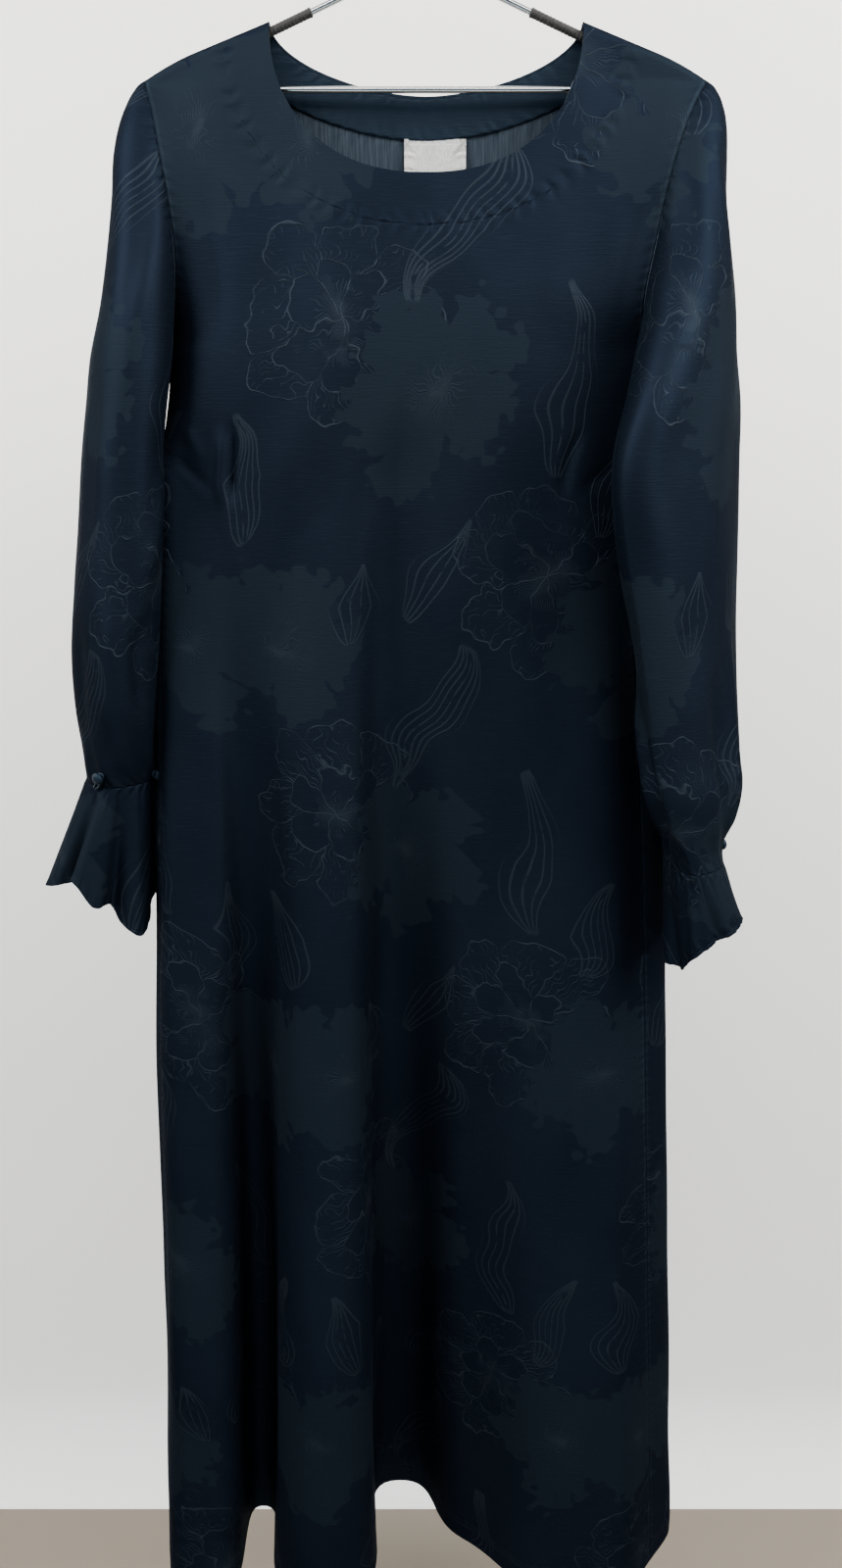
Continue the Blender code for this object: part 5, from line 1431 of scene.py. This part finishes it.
for panel, row in PANELS.items():
    made = cloth_shell(panel + "_of_dress", panel_sheet(panel), CLOTH, (FACE, INSIDE), row.way)
    cloth_piece(made, panel + "_panel")
    made = cloth_shell(panel + "_neck_facing_cloth", neck_facing(panel), FACING_CLOTH, (CREPE,),
                       -row.way)
    cloth_piece(made, panel + "_neck_facing")
made = cloth_shell("bare_label", neck_label(), LABEL_CLOTH, (LABEL,), -1)
cloth_piece(made, "neck_label")
for side in SIDE:
    for part, sheet, first_joined in (("sleeve", sleeve_sheet(side), SLEEVE_UPPER_ROWS - 1),
                                      ("frill", frill_sheet(side), 0)):
        made = cloth_shell(f"{side}_{part}_cloth", sheet, CLOTH, (FACE, INSIDE), -SIDE[side],
                           first_joined)
        cloth_piece(made, f"{side}_{part}")


# ------------------------------------------------------------------ helpers for made shapes
MADE_SHARP = math.radians(50)
CORD_ROUNDNESS = 4
WIRE_SIDES, GRIP_SIDES, BUTTON_SIDES = 28, 20, 28      # sides of their first rings
APEX_STEPS, CORNER_STEPS, HOOK_STEPS = 8, 24, 60       # faces along each bend of the wire
BALL_SEGMENTS, BALL_RINGS = 32, 16
BUTTON_ROUNDING = 2        # times that a button's faces are split and rounded
HALVES_MEET = 0.00001      # the frame's two halves are joined within this gap


def deselect_all():
    bpy.ops.object.select_all(action="DESELECT")


def choose(*objects):
    """Select these objects alone, the first one active."""
    deselect_all()
    for made in objects:
        made.select_set(True)
    bpy.context.view_layer.objects.active = objects[0]


def edit_all():
    """Edit mode on the active piece, with all of it selected."""
    bpy.ops.object.mode_set(mode="EDIT")
    bpy.ops.mesh.select_all(action="SELECT")


def edit_done():
    """Leave edit mode with every face outward."""
    bpy.ops.mesh.select_all(action="SELECT")
    bpy.ops.mesh.normals_make_consistent(inside=False)
    bpy.ops.object.mode_set(mode="OBJECT")


def painted_piece(made, paint):
    """One material on a piece, with the maps that the cloth materials read."""
    mesh = made.data
    mesh.materials.append(paint)
    spots = np.empty(len(mesh.vertices) * 3)
    mesh.vertices.foreach_get("co", spots)
    corners = np.empty(len(mesh.loops), np.int32)
    mesh.loops.foreach_get("vertex_index", corners)
    place = spots.reshape(-1, 3)[corners]
    for old in list(mesh.uv_layers):
        mesh.uv_layers.remove(old)
    layer = mesh.uv_layers.new(name="cloth")
    flat = np.stack([place[:, 0] + place[:, 1], place[:, 2]], -1)
    layer.uv.foreach_set("vector", flat.astype(np.float32).ravel())
    away = mesh.attributes.new("seams", "FLOAT_VECTOR", "CORNER")
    away.data.foreach_set("vector", np.tile(np.float32([NO_SEAM, 0, 0]), len(corners)))
    return made


def cord(name, points, radius, sizes):
    """A round cord through points as a mesh, with its size at each one."""
    data = bpy.data.curves.new(name, "CURVE")
    data.dimensions = "3D"
    data.bevel_depth = radius
    data.bevel_resolution = CORD_ROUNDNESS
    data.use_fill_caps = True
    spline = data.splines.new("POLY")
    spline.points.add(len(points) - 1)
    for place, point, size in zip(spline.points, points, sizes):
        place.co = (*point, 1)
        place.radius = size
    made = bpy.data.objects.new(name, data)
    bpy.context.collection.objects.link(made)
    choose(made)
    bpy.ops.object.convert(target="MESH")
    made = bpy.context.view_layer.objects.active
    made.data.shade_smooth()
    made.data.set_sharp_from_angle(angle=MADE_SHARP)
    return made


def wire_end(radius, place, sides, lean, closed=True):
    """A wire's first ring, leaning this far from upright towards +X; left in edit mode."""
    deselect_all()
    bpy.ops.mesh.primitive_circle_add(vertices=sides, radius=radius,
                                      fill_type="NGON" if closed else "NOTHING")
    edit_all()
    bpy.ops.transform.rotate(value=-lean, orient_axis="Y", center_override=(0, 0, 0))
    bpy.ops.transform.translate(value=place)


def run_on(start, end, lean=0.0, size=1.0):
    """Draws the wire on from one (x, z) place to the next; its end leans on towards +X."""
    bpy.ops.mesh.extrude_region_move(
        TRANSFORM_OT_translate={"value": (end[0] - start[0], 0, end[1] - start[1])})
    centre = (end[0], 0, end[1])
    if lean:
        bpy.ops.transform.rotate(value=-lean, orient_axis="Y", center_override=centre)
    if size != 1.0:
        bpy.ops.transform.resize(value=(size, size, size), center_override=centre)


def bend_on(centre, turn, steps):
    """Bends the wire on round a centre (x, z), clockwise seen from the front."""
    bpy.ops.mesh.spin(steps=steps, angle=-turn, center=(centre[0], 0, centre[1]),
                      axis=(0, 1, 0))


def wire_done(name):
    """Leaves edit mode with every face outward and the wire smooth."""
    edit_done()
    bpy.ops.object.shade_smooth_by_angle(angle=MADE_SHARP)
    made = bpy.context.view_layer.objects.active
    made.name = name
    return made


def ball(radius, place, scale=(1, 1, 1)):
    """A smooth ball, its shape in its mesh."""
    deselect_all()
    bpy.ops.mesh.primitive_uv_sphere_add(segments=BALL_SEGMENTS, ring_count=BALL_RINGS,
                                         radius=radius)
    made = bpy.context.view_layer.objects.active
    edit_all()
    bpy.ops.transform.resize(value=scale)
    bpy.ops.transform.translate(value=place)
    bpy.ops.object.mode_set(mode="OBJECT")
    made.data.shade_smooth()
    return made


# ------------------------------------------------------------------ covered buttons and loops
TRIAL_TURN, TRIAL_DROP = 3, 0.004     # degrees and metres over which the cloth's lie is read
TRIAL_SHARE = 0.02                    # and the share of a frill's length


def sleeve_frame(side, angle, z):
    """A point of the sleeve with its outward, around and down directions."""
    def at(turn, height):
        plan = tube(side, turn, np.array(height))
        return Vector((plan[0], plan[1], height))

    around = (at(angle + TRIAL_TURN, z) - at(angle - TRIAL_TURN, z)).normalized()
    down = (at(angle, z - TRIAL_DROP) - at(angle, z + TRIAL_DROP)).normalized()
    out = around.cross(down).normalized() * -SIDE[side]
    return at(angle, z), out, around, down


def cloth_frame(side, angle, z):
    """A point of the sleeve or, below the wrist, of the frill, with its outward direction."""
    if z > WRIST_Z[side]:
        return sleeve_frame(side, angle, z)[:2]
    share = (WRIST_Z[side] - z) / FRILL_LENGTH
    spot, beside, below = (Vector(frill_surface(side, np.array(turn), down)) for turn, down in (
        (angle, share), (angle + TRIAL_TURN, share), (angle, share + TRIAL_SHARE)))
    return spot, (beside - spot).cross(below - spot).normalized() * -SIDE[side]


def covered_button(name, point, out, around):
    """A domed button in cloth: flat under the dome, pulled in round a short shank."""
    deselect_all()
    radius, height = BUTTON_PROFILE[0]
    bpy.ops.mesh.primitive_circle_add(vertices=BUTTON_SIDES, radius=radius, fill_type="NGON")
    made = bpy.context.view_layer.objects.active
    edit_all()
    bpy.ops.transform.translate(value=(0, 0, height))
    for wider, higher in BUTTON_PROFILE[1:]:
        bpy.ops.mesh.extrude_region_move(
            TRANSFORM_OT_translate={"value": (0, 0, higher - height)})
        share = wider / radius
        bpy.ops.transform.resize(value=(share, share, 1), center_override=(0, 0, higher))
        radius, height = wider, higher
    edit_done()
    rounded = made.modifiers.new("round", "SUBSURF")
    rounded.levels = BUTTON_ROUNDING
    bpy.ops.object.modifier_apply(modifier="round")
    made.matrix_world = Matrix((around, out.cross(around), out)).transposed().to_4x4()
    made.matrix_world.translation = point
    bpy.ops.object.transform_apply(location=True, rotation=True, scale=True)
    bpy.ops.object.shade_smooth()
    made.name = name
    return painted_piece(made, CREPE)


def rouleau_loop(name, row):
    """The round cord of cloth that is sewn down beside a button and passes round it."""
    z = WRIST_Z[row.sleeve] + row.rise
    point, _, around, down = sleeve_frame(row.sleeve, row.angle, z)
    turn = math.radians(row.loop_turn)
    ahead = around * math.cos(turn) + down * math.sin(turn)
    beside = around * -math.sin(turn) + down * math.cos(turn)
    leg = np.linspace(LOOP_LENGTH, 0, LEG_STEPS)[:-1]
    flare = LOOP_BEND * (1 - LEG_CLOSING * (leg / LOOP_LENGTH) ** 2)
    bend = np.linspace(math.pi / 2, 3 * math.pi / 2, BEND_STEPS)
    flat_route = (list(zip(leg, flare))
                  + [(LOOP_BEND * math.cos(t), LOOP_BEND * math.sin(t)) for t in bend]
                  + list(zip(leg[::-1], -flare[::-1])))
    route = []
    for run, off in flat_route:
        flat = ahead * run + beside * off
        sideways, lower = flat.dot(around), flat.dot(down)
        degrees = row.angle
        for _ in range(ROUTE_STEPS):
            spot, normal = cloth_frame(row.sleeve, degrees, z - lower)
            beyond = cloth_frame(row.sleeve, degrees + 1, z - lower)[0]
            short = sideways - (spot - point).dot(around)
            degrees += short / (beyond - spot).dot(around)
        route.append(spot + normal * (LOOP_RADIUS + LOOP_CLEARANCE))
    twist = [1 + TWIST * math.sin(i * TWIST_STEP) for i in range(len(route))]
    return painted_piece(cord(name, route, LOOP_RADIUS, twist), CREPE)


for index, row in enumerate(BUTTONS):
    number = index % 2 + 1
    z = WRIST_Z[row.sleeve] + row.rise
    point, out, around, _ = sleeve_frame(row.sleeve, row.angle, z)
    made = covered_button(f"{row.sleeve}_covered_button_{number}", point, out, around)
    finish_piece(made, f"{row.sleeve}_button_{number}")
    made = rouleau_loop(f"{row.sleeve}_rouleau_{number}", row)
    finish_piece(made, f"{row.sleeve}_loop_{number}")


# ------------------------------------------------------------------ hanger
def arm_z(x):
    """Height of the axis of the hanger's arm over x."""
    off = abs(x)
    near = min(off, ARM_BEND_X)
    past = max(off - ARM_BEND_X, 0)
    return APEX_Z - ARM_SLOPE * near - SHOULDER_SLOPE * past


def arm_place(x):
    """The place (x, z) of the arm's axis over x."""
    return x, arm_z(x)


def round_centre(centre, radius, degrees):
    """The place (x, z) at an angle round a centre."""
    turn = math.radians(degrees)
    return centre[0] + radius * math.cos(turn), centre[1] + radius * math.sin(turn)


def hanger_frame_wire():
    """The frame: half of it drawn as one wire from the apex to the bar, and mirrored."""
    top = APEX_Z - APEX_DROP
    apex_radius = APEX_DROP / (1 / math.cos(ARM_LEAN) - 1)
    wire_end(WIRE_RADIUS, (0, 0, top), WIRE_SIDES, math.radians(90), closed=False)
    bend_on((0, top - apex_radius), ARM_LEAN, APEX_STEPS)
    arm = arm_place(apex_radius * math.sin(ARM_LEAN))
    run_on(arm, arm_place(ARM_BEND_X), SHOULDER_LEAN - ARM_LEAN)
    steep = math.pi / 2 - SHOULDER_LEAN
    corner = arm_place(CORNER_X + CORNER_RADIUS * math.cos(steep))
    centre = (CORNER_X, corner[1] - CORNER_RADIUS * math.sin(steep))
    run_on(arm_place(ARM_BEND_X), corner)
    past = math.radians(90 + CORNER_TURN)
    bend_on(centre, steep + past, CORNER_STEPS)
    bar_end = (BAR_DIP_FROM, BAR_Z - BAR_DIP)
    bar_straight = (BAR_DIP_TO, BAR_Z)
    run_on(round_centre(centre, CORNER_RADIUS, -90 - CORNER_TURN), bar_end,
           -math.radians(CORNER_TURN))
    run_on(bar_end, bar_straight)
    run_on(bar_straight, (0.0, BAR_Z))
    made = wire_done("hanger_wire")
    other_half = made.modifiers.new("other half", "MIRROR")
    other_half.merge_threshold = HALVES_MEET
    bpy.ops.object.modifier_apply(modifier="other half")
    return made


def hanger_hook_wire():
    """The hook on its stem, with a rounded tip and the weld at its foot."""
    here = foot = (0.0, APEX_Z - APEX_DROP + WIRE_RADIUS)
    wire_end(WIRE_RADIUS, (0, 0, foot[1]), WIRE_SIDES, 0.0)
    for step in STEM:
        run_on(here, (step.x, step.z), math.radians(step.lean))
        here = (step.x, step.z)
    centre, radius = (0.0, -HOOK_RADIUS), HOOK_RADIUS + WIRE_RADIUS
    gained = sum(step.lean for step in STEM)
    run_on(here, round_centre(centre, radius, HOOK_FROM), math.radians(-HOOK_FROM - gained))
    bend_on(centre, -math.radians(HOOK_TO - HOOK_FROM), HOOK_STEPS)
    made = wire_done("hanger_hook_wire")
    end = round_centre(centre, radius, HOOK_TO)
    tip = ball(WIRE_RADIUS, (end[0], 0, end[1]))
    weld = ball(WELD_RADIUS, (0, 0, foot[1] - WELD_SINK), WELD_SHAPE)
    choose(made, tip, weld)
    bpy.ops.object.join()
    return made


def grip_rubber():
    """The right grip: a rubber tube in fine ribs, with a lip at each end."""
    places = np.linspace(GRIP_FROM_X, GRIP_TO_X, GRIP_STEPS)
    ribs = 1 + RIB_HEIGHT * np.sin(places * 2 * math.pi / RIB_STEP)
    ends = np.minimum(places - GRIP_FROM_X, GRIP_TO_X - places)
    sizes = ribs * (1 + LIP * hill(ends - LIP_PLACE, LIP_WIDTH)
                    - END_ROUNDING * hill(ends, END_ROUNDING_WIDTH))
    wire_end(GRIP_RADIUS * sizes[0], (places[0], 0, arm_z(places[0])), GRIP_SIDES,
             math.radians(90) + ARM_LEAN)
    for x, following, size, grown in zip(places, places[1:], sizes, sizes[1:]):
        run_on(arm_place(x), arm_place(following), size=grown / size)
    return wire_done("right_grip_rubber")


finish_piece(painted_piece(hanger_frame_wire(), CHROME), "hanger_frame")
finish_piece(painted_piece(hanger_hook_wire(), CHROME), "hanger_hook")
right_grip = painted_piece(grip_rubber(), RUBBER)
choose(right_grip)
bpy.ops.object.duplicate(linked=False)
left_grip = bpy.context.view_layer.objects.active
left_grip.name = "left_grip_rubber"
edit_all()
bpy.ops.transform.resize(value=(-1, 1, 1), center_override=(0, 0, 0))
bpy.ops.mesh.flip_normals()
bpy.ops.object.mode_set(mode="OBJECT")
finish_piece(right_grip, "right_grip")
finish_piece(left_grip, "left_grip")


# ------------------------------------------------------------------ floor, wall, lights, camera
FLOOR_Z, WALL_Y, COVE = -1.74, 0.36, 0.10
FLOOR_SIZE, WALL_HALF_WIDTH, WALL_TOP_Z = 16, 7.0, 3.0
WALL_FOOT_Z = FLOOR_Z + 0.0005
COVE_STEPS = 17
FLOOR_PAINT, WALL_PAINT = (0.225, 0.190, 0.148, 1.0), (0.90, 0.905, 0.90, 1.0)
WALL_GLOW, WALL_GLOW_STRENGTH = (1.0, 1.0, 1.0, 1.0), 0.26


def make_floor():
    """A pale floor, and a pale wall that curves up out of it and shows from its front only."""
    deselect_all()
    bpy.ops.mesh.primitive_plane_add(size=FLOOR_SIZE, location=(0, 0, 0))
    floor = bpy.context.view_layer.objects.active
    floor.name = "floor"
    floor.data.transform(Matrix.Translation((0, 0, FLOOR_Z)))
    paint = new_material("floor paint", Base_Color=FLOOR_PAINT, Roughness=0.7)[0]
    floor.data.materials.append(paint)
    cove_y, cove_z = WALL_Y - COVE, WALL_FOOT_Z + COVE
    profile = [(cove_y + COVE * math.sin(turn), cove_z - COVE * math.cos(turn))
               for turn in np.linspace(0, math.pi / 2, COVE_STEPS)]
    profile.append((WALL_Y, WALL_TOP_Z))
    spots = [(x, y, z) for y, z in profile for x in (-WALL_HALF_WIDTH, WALL_HALF_WIDTH)]
    faces = [(i, i + 1, i + 3, i + 2) for i in range(0, len(spots) - 2, 2)]
    mesh = bpy.data.meshes.new("wall")
    mesh.from_pydata(spots, [], faces)
    mesh.shade_smooth()
    material, n, shader = new_material("wall paint", Base_Color=WALL_PAINT, Roughness=0.8,
                                       Emission_Color=WALL_GLOW,
                                       Emission_Strength=WALL_GLOW_STRENGTH)
    behind = n.add("NewGeometry").outputs["Backfacing"]
    n.feed(shader.inputs["Alpha"], n.math("SUBTRACT", 1.0, behind))
    mesh.materials.append(material)
    wall = bpy.data.objects.new("wall", mesh)
    bpy.context.collection.objects.link(wall)


def softbox(light):
    """A rectangular soft light, pointed at a place."""
    data = bpy.data.lights.new(light.name, "AREA")
    data.shape = "RECTANGLE"
    data.size, data.size_y = light.width, light.height
    data.energy = light.watts
    data.color = light.colour
    made = bpy.data.objects.new(light.name, data)
    made.location = light.place
    towards = Vector(light.aim) - Vector(light.place)
    made.rotation_euler = towards.to_track_quat("-Z", "Y").to_euler()
    bpy.context.collection.objects.link(made)


FRONT_WHITE = (1.0, 0.90, 0.83)
WARM_WHITE = (1.0, 0.97, 0.93)
COOL_WHITE = (0.62, 0.82, 1.0)
Light = namedtuple("Light", "name place aim width height watts colour")
LIGHTS = (
    Light("front_ceiling_light", (0.0, -1.80, 1.30), (0, 0, -0.1), 2.4, 0.5, 44, FRONT_WHITE),
    Light("left_ceiling_light", (-1.25, -0.75, 0.85), (-0.2, 0, -0.4), 0.9, 0.8, 36, WARM_WHITE),
    Light("right_ceiling_light", (1.25, -0.75, 0.85), (0.2, 0, -0.4), 0.9, 0.8, 42, WARM_WHITE),
    Light("left_light", (-1.50, -0.85, 0.40), (0, 0, -0.55), 1.0, 1.6, 42, WARM_WHITE),
    Light("right_light", (1.50, -0.85, 0.40), (0, 0, -0.55), 1.0, 1.6, 48, WARM_WHITE),
    Light("low_light", (0.0, -1.70, -1.35), (0, 0, -1.30), 1.8, 0.4, 7, COOL_WHITE),
)
ROOM_COLOUR, ROOM_STRENGTH = (0.58, 0.82, 1.0, 1.0), 0.20
LENS, SENSOR_WIDTH = 27.045, 36.0
CAMERA_PLACE, CAMERA_TILT = (0.0, -0.96, -0.403), 74      # 90 degrees looks level

make_floor()
for light in LIGHTS:
    softbox(light)

world = bpy.data.worlds.new("room")
bpy.context.scene.world = world
world.use_nodes = True
world.node_tree.nodes["Background"].inputs["Color"].default_value = ROOM_COLOUR
world.node_tree.nodes["Background"].inputs["Strength"].default_value = ROOM_STRENGTH

camera_data = bpy.data.cameras.new("camera")
camera_data.lens = LENS
camera_data.sensor_width = SENSOR_WIDTH
camera = bpy.data.objects.new("camera", camera_data)
camera.location = CAMERA_PLACE
camera.rotation_euler = (math.radians(CAMERA_TILT), 0.0, 0.0)
bpy.context.collection.objects.link(camera)
bpy.context.scene.camera = camera
